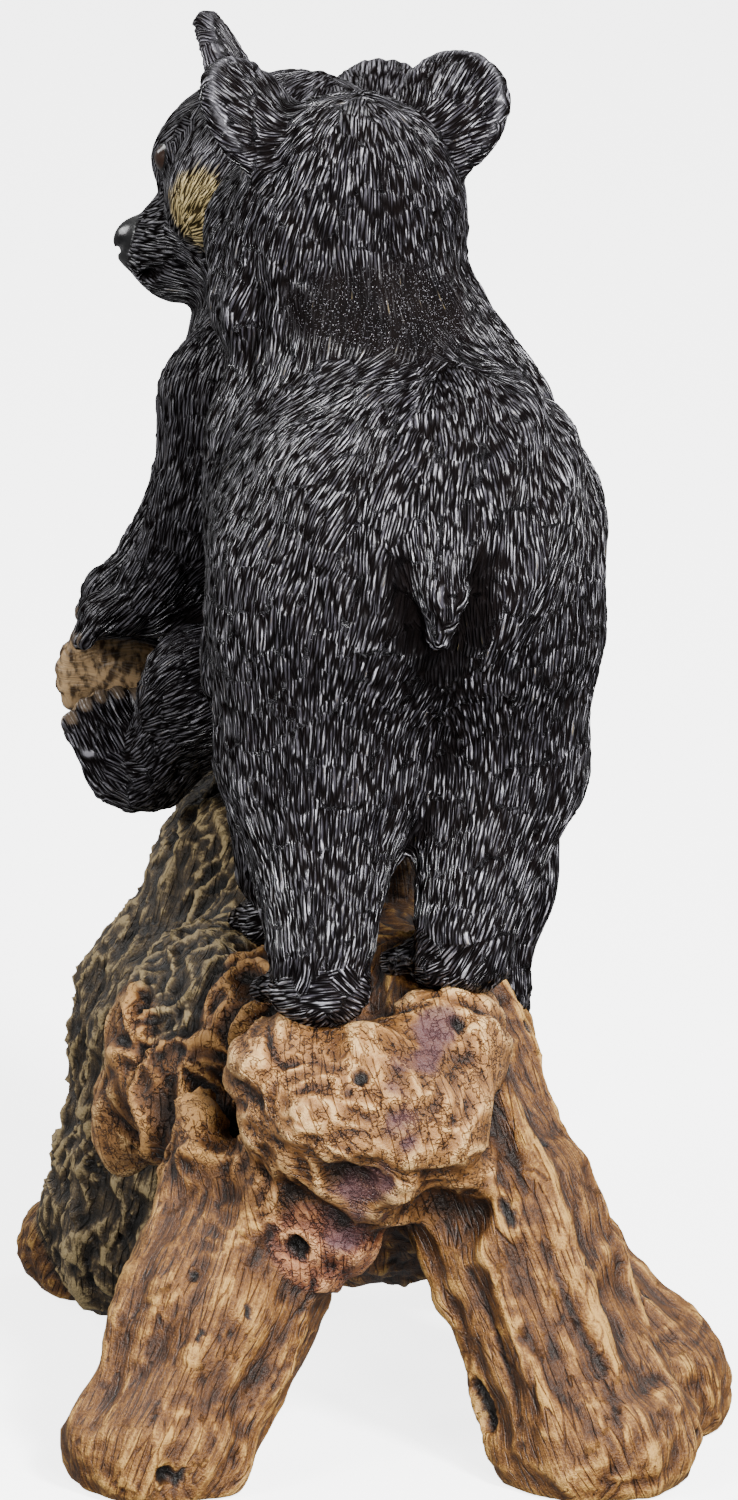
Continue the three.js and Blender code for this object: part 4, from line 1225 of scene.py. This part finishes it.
@dataclass(frozen=True)
class PaintedFur:
    """Polyester resin tooled as fur, painted black and varnished: each tooled ridge catches the light, with
    painted highlights on the ridges and painted shade in the creases.
    """

    name: str
    black: str = "#060607"
    dark: str = "#19181b"
    grey: str = "#3d3b43"  # dry-brushed grey paint on the ridges, and a painted highlight there too
    glint: str = "#c2c0c8"  # a painted highlight on the highest ridges, on flecks, on the saddle's specks and on the ears' rims
    brown: str = "#221a17"
    patch: str = "#cdb67e"
    patch_dark: str = "#332a1a"
    sole: str = "#a98d69"
    sole_dark: str = "#43362a"
    claw: str = "#54473a"
    nose: str = "#050506"
    eye: str = "#070404"
    iris: str = "#2b1b13"
    roughness: float = 0.3  # satin varnish
    wet_roughness: float = 0.22  # of the nose and the eyes
    stroke: tuple = (15.0, 1.2)  # length and width in millimetres
    streak: tuple = (12.0, 0.8)
    stroke_height: float = 1.3 * MM

    def build(self, eyes: list[Array], eye_radius: float) -> bpy.types.Material:
        """Makes the material.

        Args:
            eyes: the centre of each eye, in metres.
            eye_radius: an eye's radius, in metres.

        Returns:
            The material.
        """
        s = Shader(self.name)
        calm = s.read("calm")
        fine = s.strokes(*self.stroke, Pattern.CELLS)
        streak = s.strokes(*self.streak, Pattern.STREAKS)
        height = s.plus(fine, s.times(streak, 0.5))
        # The ridge share paints black in the creases and hollows as painted shade, and grey on the stroke
        # ridges, partly dry-brushed paint and partly a painted highlight.
        ridge = s.times(s.step(s.read("relief"), 0.12, 0.5), s.step(height, 0.3, 1.1))
        # Painted shade: the hollow around the tail is painted plain black, and the smoother saddle loses its
        # ridges' colour.
        calm_and_painted_shade = s.most(s.times(calm, 0.8), s.read("shade"))
        ridge = s.times(ridge, s.less(1.0, calm_and_painted_shade))
        colour = s.ramp(ridge, {0.0: self.black, 0.95: self.grey, 0.5: self.dark})
        # Painted highlight: the glint colour on flecks along the highest stroke ridges.
        painted_glint_flecks = s.times(s.step(streak, 0.52, 0.62), s.step(ridge, 0.4, 0.8))
        # Painted highlight: bright specks of the glint colour on the smoother saddle.
        speck = s.times(calm, s.step(s.noise(620.0, 1.0), 0.69, 0.74))
        colour = s.mix(s.most(s.times(painted_glint_flecks, 0.7), speck), colour, self.glint)
        colour = s.mix(s.times(s.noise(18.0, 2.0), 0.3), colour, self.brown)
        tan = s.mix(s.step(fine, 0.15, 0.5), self.patch_dark, self.patch)
        ragged = s.plus(s.read("patch"), s.times(height, 0.45))
        colour = s.mix(s.step(ragged, 0.55, 1.0), colour, tan)
        skin = s.mix(s.step(s.noise(60.0, 5.0), 0.35, 0.6), self.sole_dark, self.sole)
        colour = s.mix(s.read("sole"), colour, skin)
        colour = s.mix(s.read("claw"), colour, self.claw)
        # Painted highlight: a thin line of the glint colour along the ears' rims.
        colour = s.mix(s.times(s.read("rim"), 0.18), colour, self.glint)
        gloss = s.read("nose")
        colour = s.mix(gloss, colour, self.nose)
        place = s.place()
        for eye in eyes:
            away = s.vector("DISTANCE", {0: place, 1: tuple(eye)}).outputs["Value"]
            within = s.step(away, eye_radius * 1.2, eye_radius * 1.08)
            gloss = s.most(gloss, within)
            iris = s.step(away, eye_radius * 1.05, eye_radius * 1.01)
            colour = s.mix(iris, s.mix(within, colour, self.eye), self.iris)
        rough = s.add("MapRange", inputs={0: gloss, 3: self.roughness, 4: self.wet_roughness})
        shine = s.times(s.most(s.step(ridge, 0.1, 0.7), s.times(gloss, 0.7)), 0.6)
        bare = s.most(s.most(gloss, s.times(s.read("bare"), 0.75)), s.times(calm, 0.8))
        inputs = {"Distance": self.stroke_height, "Height": height, "Strength": s.less(1.0, bare)}
        bump = s.add("Bump", inputs=inputs)
        s.feed(s.principled, {"Base Color": colour, "Roughness": rough.outputs[0],
                              "Specular IOR Level": shine, "Normal": bump.outputs[0]})
        return s.material


@dataclass(frozen=True)
class StainedWood:
    """Polyester resin cast as weathered wood, darker in the hollows and paler on the ridges."""

    name: str
    root: tuple = ("#150a03", "#321b09", "#4d2e10", "#704a1f", "#ab8344")
    burl: tuple = ("#180c04", "#432710", "#6b4620", "#93683a", "#c79f68")
    crag: tuple = ("#0a0502", "#231305", "#44280f", "#6d4722", "#a87c46")
    lobe: tuple = ("#120704", "#3a1d10", "#5d3420", "#845533", "#ae7f55")
    bark: tuple = ("#070502", "#1c160e", "#322718", "#51422b", "#9c8860")
    purple: str = "#4e3234"
    hole: str = "#0b0704"
    roughness: float = 0.5  # a satin stain
    specular: float = 0.4
    grain: tuple = (34.0, 1.3)  # length and width in millimetres
    crack: tuple = (26.0, 3.2)
    vein_scale: float = 75.0  # veins to a metre
    grain_height: float = 1.0 * MM

    PLACES = (0.08, 0.32, 0.52, 0.72, 0.95)  # the relief at which each colour stands

    def build(self) -> bpy.types.Material:
        """Makes the material."""
        s = Shader(self.name)
        grain = s.strokes(*self.grain, Pattern.STREAKS)
        cracks = s.step(s.strokes(*self.crack, Pattern.CELLS), 0.0, 0.2)
        warp = s.add("TexNoise", inputs={"Scale": 60.0, "Detail": 2.0}).outputs["Color"]
        warp = s.vector("SCALE", {0: warp, "Scale": 0.03}).outputs[0]
        place = s.vector("ADD", {0: s.place(), 1: warp}).outputs[0]
        inputs = {"Vector": place, "Scale": self.vein_scale}
        veins = s.add("TexVoronoi", {"feature": "DISTANCE_TO_EDGE"}, inputs).outputs["Distance"]
        knotty = s.most(s.most(s.read("burl"), s.read("crag")), s.read("lobe"))
        veins = s.mix_value(knotty, 1.0, s.step(veins, 0.0, 0.07))
        grain = s.mix_value(s.times(knotty, 0.75), grain, 0.5)
        speck = s.noise(260.0, 3.0, 0.65)
        even = s.less(1.0, s.times(knotty, 0.45))
        height = s.read("relief")
        shares = ((grain, 0.7, 0.5), (cracks, 0.25, 0.85), (veins, 0.3, 1.0),
                  (s.mix_value(even, 0.5, speck), 0.6, 0.5),
                  (s.mix_value(even, 0.5, s.noise(26.0, 3.0)), 0.7, 0.5))
        for texture, share, level in shares:
            height = s.plus(height, s.times(s.less(texture, level), share))
        colour = s.ramp(height, dict(zip(self.PLACES, self.root)))
        for name in ("burl", "crag", "lobe", "bark"):
            colour = s.mix(s.read(name), colour, s.ramp(height, dict(zip(self.PLACES, getattr(self, name)))))
        colour = s.mix(s.times(s.read("stain"), 0.9), colour, self.purple)
        colour = s.mix(s.read("hole"), colour, self.hole)
        bumps = s.plus(s.plus(grain, s.times(cracks, 0.6)), s.plus(veins, speck))
        inputs = {"Distance": self.grain_height, "Height": bumps, "Strength": 0.85}
        bump = s.add("Bump", inputs=inputs).outputs[0]
        s.feed(s.principled, {"Base Color": colour, "Roughness": self.roughness,
                              "Specular IOR Level": self.specular, "Normal": bump})
        return s.material


@dataclass(frozen=True)
class StudioFloor:
    """A white acrylic sheet that is lit from below, so that it stays white around the sculpture."""

    name: str = "lit_acrylic_sheet"
    colour: str = "#f6f6f6"
    roughness: float = 0.9
    glow: float = 4.0

    def build(self) -> bpy.types.Material:
        """Makes the material."""
        s = Shader(self.name)
        colour = to_linear(self.colour)
        s.feed(s.principled, {"Base Color": colour, "Roughness": self.roughness, "Emission Color": colour,
                              "Emission Strength": self.glow})
        return s.material


@dataclass
class Casting:
    """One cast piece of the sculpture: its fine mesh, its material and what it replaces."""

    name: str
    node: str
    slot: str
    skin: Skin
    material: bpy.types.Material

    def finish(self, patches: Patches, masks: dict[str, Array]) -> bpy.types.Object:
        """Makes the Blender object.

        Args:
            patches: the flow-aligned coordinates.
            masks: a number for each vertex, by name.

        Returns:
            The object, riding on the part.
        """
        mesh = bpy.data.meshes.new(self.name)
        points = (self.skin.points + np.array([*CENTRING, 0])) * MM
        quads = self.skin.quads
        mesh.vertices.add(len(points))
        mesh.vertices.foreach_set("co", points.astype(np.float32).ravel())
        mesh.loops.add(quads.size)
        mesh.loops.foreach_set("vertex_index", quads.astype(np.int32).ravel())
        mesh.polygons.add(len(quads))
        mesh.polygons.foreach_set("loop_start", np.arange(0, quads.size, 4, dtype=np.int32))
        for name, one in zip(COMBS, patches.sets):
            stored = mesh.attributes.new(name, "FLOAT_VECTOR", "POINT")
            stored.data.foreach_set("vector", one.astype(np.float32).ravel())
        for name, values in masks.items():
            mesh.attributes.new(name, "FLOAT", "POINT").data.foreach_set("value", values.astype(np.float32))
        mesh.update(calc_edges=True)
        mesh.validate()
        mesh.shade_smooth()
        mesh.materials.append(self.material)
        piece = bpy.data.objects.new(self.name, mesh)
        bpy.context.scene.collection.objects.link(piece)
        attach(piece, "root")
        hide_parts(self.node)
        log.info("%s: %d vertices, %d triangles", self.name, len(points), 2 * len(quads))
        return piece


@dataclass
class Furrier:
    """Makes a cub: tools the fur of its form, finds its painted places and casts it."""

    name: str
    node: str
    cub: Cub
    form: Clear
    low: tuple
    high: tuple
    step: float
    seed: int
    fur: PaintedFur
    stroke_depth: float = 0.55
    clump_depth: float = 0.7

    STROKES = (19.0, 4.2)  # a tooled stroke's length and width in millimetres
    CLUMPS = (38.0, 11.0)  # a tuft's length and width
    PATCH = 15.0  # the distance between the middles of two patches
    CONTACT = (0.5, 4.0)  # the fur rises over this distance from where the cub touches something
    EYE_EDGE = 1.5
    RELIEF = (2.2, 1.5)
    RIM_LIFT = 0.5

    def make(self) -> bpy.types.Object:
        """Makes the cub and gives its object."""
        skin = Skin(self.form, self.low, self.high, self.step)
        head, rest = self.cub.head, skin.points.copy()
        painted = head.paint(rest)
        claws = Blend(1, *[paw.claws() for paw in self.cub.paws])
        claw = 1 - smooth(-0.2, 0.5, claws.distance(rest))
        soles = [paw.sole(rest) for paw in self.cub.paws if paw.bare]
        sole = np.maximum.reduce([np.zeros(len(rest)), *soles]) * (1 - claw)
        x, y, z = head.EYE
        eyes = [head.at(x, s * y, z) for s in (1, -1)]
        eye_radius = head.EYE_RADIUS * head.size
        near_eye = np.minimum.reduce([np.linalg.norm(rest - eye, axis=1) for eye in eyes])
        eye_mask = 1 - smooth(eye_radius, eye_radius + self.EYE_EDGE, near_eye)
        bare = np.maximum.reduce([painted["nose"], sole, claw, eye_mask, painted["inner_ear"]])
        contact = smooth(*self.CONTACT, self.form.contact(rest))
        flow = skin.flow()
        patches = Patches(skin, flow, self.PATCH, self.seed)
        strokes = patches.strokes(*self.STROKES, self.seed)
        clumps = patches.strokes(*self.CLUMPS, self.seed + 7)
        furry = (1 - bare) * contact
        calm = self.cub.calm(rest)
        short = (1 - 0.6 * painted["face"]) * (1 - 0.85 * calm)
        lift = furry * short * (self.stroke_depth * (strokes - 0.4) + self.clump_depth * (clumps - 0.5))
        lift = lift + self.RIM_LIFT * painted["rim"]
        skin.points = skin.points + lift[:, None] * skin.normals
        relief = skin.relief(*self.RELIEF)
        masks = {name: painted[name] for name in ("nose", "patch", "rim")}
        masks |= {"relief": relief * (1 - bare) + 0.6 * bare, "sole": sole, "claw": claw, "bare": bare,
                  "calm": calm, "shade": self.cub.shade(rest)}
        shift = np.array([*CENTRING, 0])
        material = self.fur.build([(eye + shift) * MM for eye in eyes], eye_radius * MM)
        return Casting(self.name, self.node, "painted_fur_resin", skin, material).finish(patches, masks)


@dataclass
class Carver:
    """Makes the stump: cuts its bark, grain, burl and worm holes, and casts it."""

    form: Form
    low: tuple
    high: tuple
    step: float
    seed: int

    # Each hole's place, its radius and how many times longer it is along the grain.
    HOLES = (((-3.1, -115.4, 149.0), 3.0, 1.1), ((-25.2, -98.4, 81.3), 4.2, 1.2),
             ((46.9, -98.9, 94.0), 2.6, 2.6), ((40.0, -101.0, 26.5), 3.6, 3.0),
             ((-68.7, -131.8, 11.9), 3.2, 1.1), ((30.0, -84.0, 156.0), 2.6, 1.5))
    # Each net of ridges along the grain: its length and width in millimetres, seed and sharpness.
    GRAINED = {"lands": (150.0, 15.0, 31, 1.0), "furrows": (90.0, 6.0, 32, 1.0),
               "plates": (26.0, 8.0, 33, 2.0), "slivers": (15.0, 4.5, 34, 1.6)}
    # Each net of warped ridges: how far it is warped, its size in millimetres, seed and sharpness.
    WARPED = {"folds": (1.0, 21.0, 35, 1.0), "crevices": (1.3, 19.0, 37, 1.4),
              "splinters": (0.6, 8.0, 38, 1.0)}
    KNOBS = (0.5, 11.0, 36)  # how far the knobs are warped, their size and seed
    WARP = (24.0, 34.0)  # the warp's size and reach in millimetres
    WORM_HOLES = 60
    PATCH = 24.0  # the distance between the middles of two patches, in millimetres
    RELIEF = (0.55, 2.4)
    # What stands up from each kind of wood: the net, its height in millimetres and its level of no height.
    LIFTS = {"root": (("lands", -1.9, 0.4), ("furrows", -1.2, 0.4), ("knobs", 1.6, 0.5),
                      ("splinters", 0.8, 0.4)),
             "bark": (("plates", 3.2, 0.25), ("slivers", 1.8, 0.3)),
             "burl": (("folds", -2.8, 0.45), ("knobs", 2.4, 0.5), ("splinters", 1.6, 0.4)),
             "crag": (("crevices", 7.0, 0.35), ("splinters", 3.4, 0.4), ("knobs", 2.0, 0.5))}
    STAIN = ((24.5, -88.6, 162.8), (12.4, -118.7, 139.2), (1.0, -110.0, 111.6), (-6.6, -97.9, 86.6))
    CRAG = Ellipsoid((-54, -30, 126), (38, 52, 44))  # the broken wood between the trunk and the burl

    def shares(self, skin: Skin) -> list[tuple[Form, Array]]:
        """Gives each simple form's share of the surface, of one in all."""
        found = [(leaf, share**3) for leaf, share in skin.leaf_shares(6.0)]
        total = sum(share for _, share in found) + 1e-12
        return [(leaf, share / total) for leaf, share in found]

    def regions(self, shares: list[tuple[Form, Array]]) -> dict[Timber, Array]:
        """Finds how far each vertex belongs to each kind of timber."""
        return {timber: smooth(0.3, 0.7, sum(share for leaf, share in shares if leaf.timber is timber))
                for timber in Timber}

    def grained(self, p: Array, shares: list[tuple[Form, Array]], length: float, width: float, seed: int,
                sharpness: float) -> Array:
        """Gives a net of ridges that are long along each limb.

        Args:
            p: the points.
            shares: each simple form and its share of the surface.
            length: a ridge's length in millimetres.
            width: the distance between ridges.
            seed: picks another net.
            sharpness: above 1 for thin ridges and below 1 for thin valleys.

        Returns:
            The height from 0 to 1 at each point.
        """
        total = np.zeros(len(p))
        for leaf, share in shares:
            comb = leaf.comb if isinstance(leaf.comb, Along) else Along((0.1, 0.0, -1.0))
            here = np.flatnonzero(share > 0.01)
            place = comb.grain(p[here], length, width)
            place[:, 1:] += 0.35 * np.sin(place[:, :1] * 5 + place[:, 1:] * 0.7)
            total[here] += share[here] * ridges(place, 1.0, seed, sharpness)
        return total

    def holes(self, skin: Skin, flow: Array, count: int, rng: np.random.Generator) -> tuple[Array, Array]:
        """Places the holes, long along the grain: the large ones and worm holes at random.

        Args:
            skin: the stump's mesh.
            flow: the grain's way at each vertex.
            count: how many worm holes.
            rng: the source of random numbers.

        Returns:
            The share from 0 to 1 of a hole and the hole's depth in millimetres at each vertex.
        """
        found, depth = np.zeros(len(skin.points)), np.zeros(len(skin.points))
        large = [(int(np.argmin(((skin.points - place) ** 2).sum(1))), radius, stretch, radius * 1.2)
                 for place, radius, stretch in self.HOLES]
        small = [(int(v), rng.uniform(1.0, 1.9), rng.uniform(1.0, 3.0), 1.5)
                 for v in rng.integers(0, len(skin.points), count)]
        for v, radius, stretch, deep in large + small:
            offset = skin.points - skin.points[v]
            along = offset @ flow[v]
            away = np.sqrt(np.maximum((offset * offset).sum(1) - along**2, 0))
            inside = 1 - smooth(0.55, 1.15, np.hypot(along / (radius * stretch), away / radius))
            found = np.maximum(found, inside)
            depth = np.maximum(depth, deep * inside)
        return found, depth

    def stain(self, p: Array) -> Array:
        """Gives the share from 0 to 1 of the purple stain that runs down the burl at each point."""
        streaks = [Limb(a, b, 4.5, 4.5) for a, b in zip(self.STAIN, self.STAIN[1:])]
        ragged = Blend(4, *streaks).distance(p) + 16 * (value_noise(p, 7.0, 21) - 0.5)
        return 1 - smooth(-3, 3.5, ragged)

    def nets(self, p: Array, shares: list[tuple[Form, Array]]) -> dict[str, Array]:
        """Gives the height from 0 to 1 of each texture of the wood at each point.

        Args:
            p: the points.
            shares: each simple form and its share of the surface.

        Returns:
            The heights, by the texture's name.
        """
        size, reach = self.WARP
        warp = np.stack([value_noise(p, size, 11 + i) - 0.5 for i in range(3)], -1) * reach
        net = {name: self.grained(p, shares, *sizes) for name, sizes in self.GRAINED.items()}
        for name, (share, *sizes) in self.WARPED.items():
            net[name] = ridges(p + share * warp, *sizes)
        share, *sizes = self.KNOBS
        net["knobs"] = value_noise(p + share * warp, *sizes)
        return net

    def make(self) -> bpy.types.Object:
        """Makes the stump and gives its object."""
        skin = Skin(self.form, self.low, self.high, self.step)
        p = skin.points.copy()
        shares = self.shares(skin)
        region = self.regions(shares)
        flow = skin.flow(9.0)
        crag = (1 - smooth(-6, 8, self.CRAG.distance(p))) * (1 - region[Timber.BARK])
        burl = np.clip(region[Timber.BURL] + region[Timber.LOBE], 0, 1) * (1 - crag)
        bark = region[Timber.BARK]
        wood = {"root": np.clip(1 - burl - bark - crag, 0, 1), "bark": bark, "burl": burl, "crag": crag}
        net = self.nets(p, shares)
        lift = sum(wood[name] * sum(high * (net[one] - level) for one, high, level in lifts)
                   for name, lifts in self.LIFTS.items())
        hole, hole_depth = self.holes(skin, flow, self.WORM_HOLES, np.random.default_rng(self.seed))
        standing = smooth(1.0, 7.0, p[:, 2])
        skin.points = skin.points + (standing * lift - hole_depth)[:, None] * skin.normals
        skin.points[:, 2] = np.maximum(skin.points[:, 2], 0)
        relief = skin.relief(*self.RELIEF)
        masks = {"relief": relief, "bark": bark, "burl": region[Timber.BURL] * (1 - crag), "crag": crag,
                 "lobe": region[Timber.LOBE] * (1 - crag), "hole": hole, "stain": self.stain(p)}
        material = StainedWood("stained_resin_wood").build()
        patches = Patches(skin, flow, self.PATCH, self.seed)
        casting = Casting("carved_stump", "tree_stump", "painted_wood_resin", skin, material)
        return casting.finish(patches, masks)


@dataclass
class Studio:
    """The pale floor, the soft lights and the camera at the photograph's angle."""

    mm_per_pixel: float = 0.345
    frame_height_px: float = 1500.0
    ground_row: float = 1393.0  # where the ground under the middle of the drawn sculpture shows
    elevation: float = 16.0
    distance: float = 5.0
    sensor_height: float = 24.0

    def build(self) -> None:
        """Makes the floor, the lights and the camera."""
        self.floor()
        self.lights()
        self.camera()

    def floor(self) -> None:
        """Makes a wide pale floor."""
        mesh = bpy.data.meshes.new("floor")
        half = 12.0
        corners = [(x * half, y * half, 0) for x, y in ((-1, -1), (1, -1), (1, 1), (-1, 1))]
        mesh.from_pydata(corners, [], [(0, 1, 2, 3)])
        mesh.materials.append(StudioFloor().build())
        floor = bpy.data.objects.new("floor", mesh)
        bpy.context.scene.collection.objects.link(floor)
        floor.visible_diffuse = False  # the glow of the floor doesn't light the sculpture
        floor.visible_glossy = False

    def lights(self) -> None:
        """Makes a soft key light, a fill, a low front light, two rim lights and a pale surround."""
        target = Vector((0, 0, 0.25))
        lamps = {"key": ((1.2, -2.0, 2.3), 0.55, 240.0), "fill": ((-2.0, -1.6, 1.6), 0.8, 75.0),
                 "front": ((0.9, -2.7, 0.9), 0.5, 120.0),
                 "rim_left": ((-1.6, 1.2, 1.4), 0.8, 22.0), "rim_right": ((1.5, 1.3, 1.7), 0.8, 22.0)}
        for name, (place, size, power) in lamps.items():
            lamp = bpy.data.lights.new(name, "AREA")
            lamp.size = size
            lamp.energy = power
            holder = bpy.data.objects.new(name, lamp)
            holder.location = place
            holder.rotation_euler = (target - Vector(place)).to_track_quat("-Z", "Y").to_euler()
            bpy.context.scene.collection.objects.link(holder)
        world = bpy.data.worlds.new("studio")
        world.use_nodes = True
        background = world.node_tree.nodes["Background"]
        background.inputs[0].default_value = (1, 1, 1, 1)
        background.inputs[1].default_value = 0.28
        bpy.context.scene.world = world

    def camera(self) -> None:
        """Makes a long lens that looks down on the sculpture from behind the standing cub."""
        angle = math.radians(self.elevation)
        view = Vector((0, math.cos(angle), -math.sin(angle)))
        middle_height = (self.ground_row - self.frame_height_px / 2) * self.mm_per_pixel
        target = Vector((CENTRING[0], CENTRING[1], middle_height / math.cos(angle))) * MM
        data = bpy.data.cameras.new("camera")
        data.sensor_fit = "VERTICAL"
        data.sensor_height = self.sensor_height
        data.lens = self.sensor_height * self.distance / (self.frame_height_px * self.mm_per_pixel * MM)
        data.clip_end = 50
        camera = bpy.data.objects.new("camera", data)
        camera.location = target - view * self.distance
        camera.rotation_euler = view.to_track_quat("-Z", "Y").to_euler()
        bpy.context.scene.collection.objects.link(camera)
        bpy.context.scene.camera = camera


def main() -> None:
    """Builds the sculpture and the studio."""
    logging.basicConfig(level=logging.INFO, format="%(message)s")
    Studio().build()
    wood = Stump().form()
    sitting, standing = SittingCub(wood), StandingCub(wood)
    sitting_body, standing_body = sitting.body(), standing.body()
    Carver(wood, (-135, -142, -6), (135, 150, 212), 1.85, 3).make()
    # The sitting cub has a rougher copy of the black paint whose darks and ridges are painted lighter as
    # painted light, with a dimmer painted highlight.
    Furrier("tooled_sitting_cub", "sitting_cub", sitting, Clear(sitting_body, FIT_GAP, wood),
            (-118, 30, 172), (46, 180, 484), 1.3, 5,
            PaintedFur("rough_black_resin_with_painted_light", dark="#2b292d", grey="#48464e", glint="#98969e",
                       roughness=0.4)).make()
    Furrier("tooled_standing_cub", "standing_cub", standing,
            Clear(standing_body, FIT_GAP, wood, sitting_body), (-72, -114, 118), (94, 92, 476), 1.5, 9,
            PaintedFur("glossy_black_painted_resin")).make()


if __name__ == "__main__":
    main()
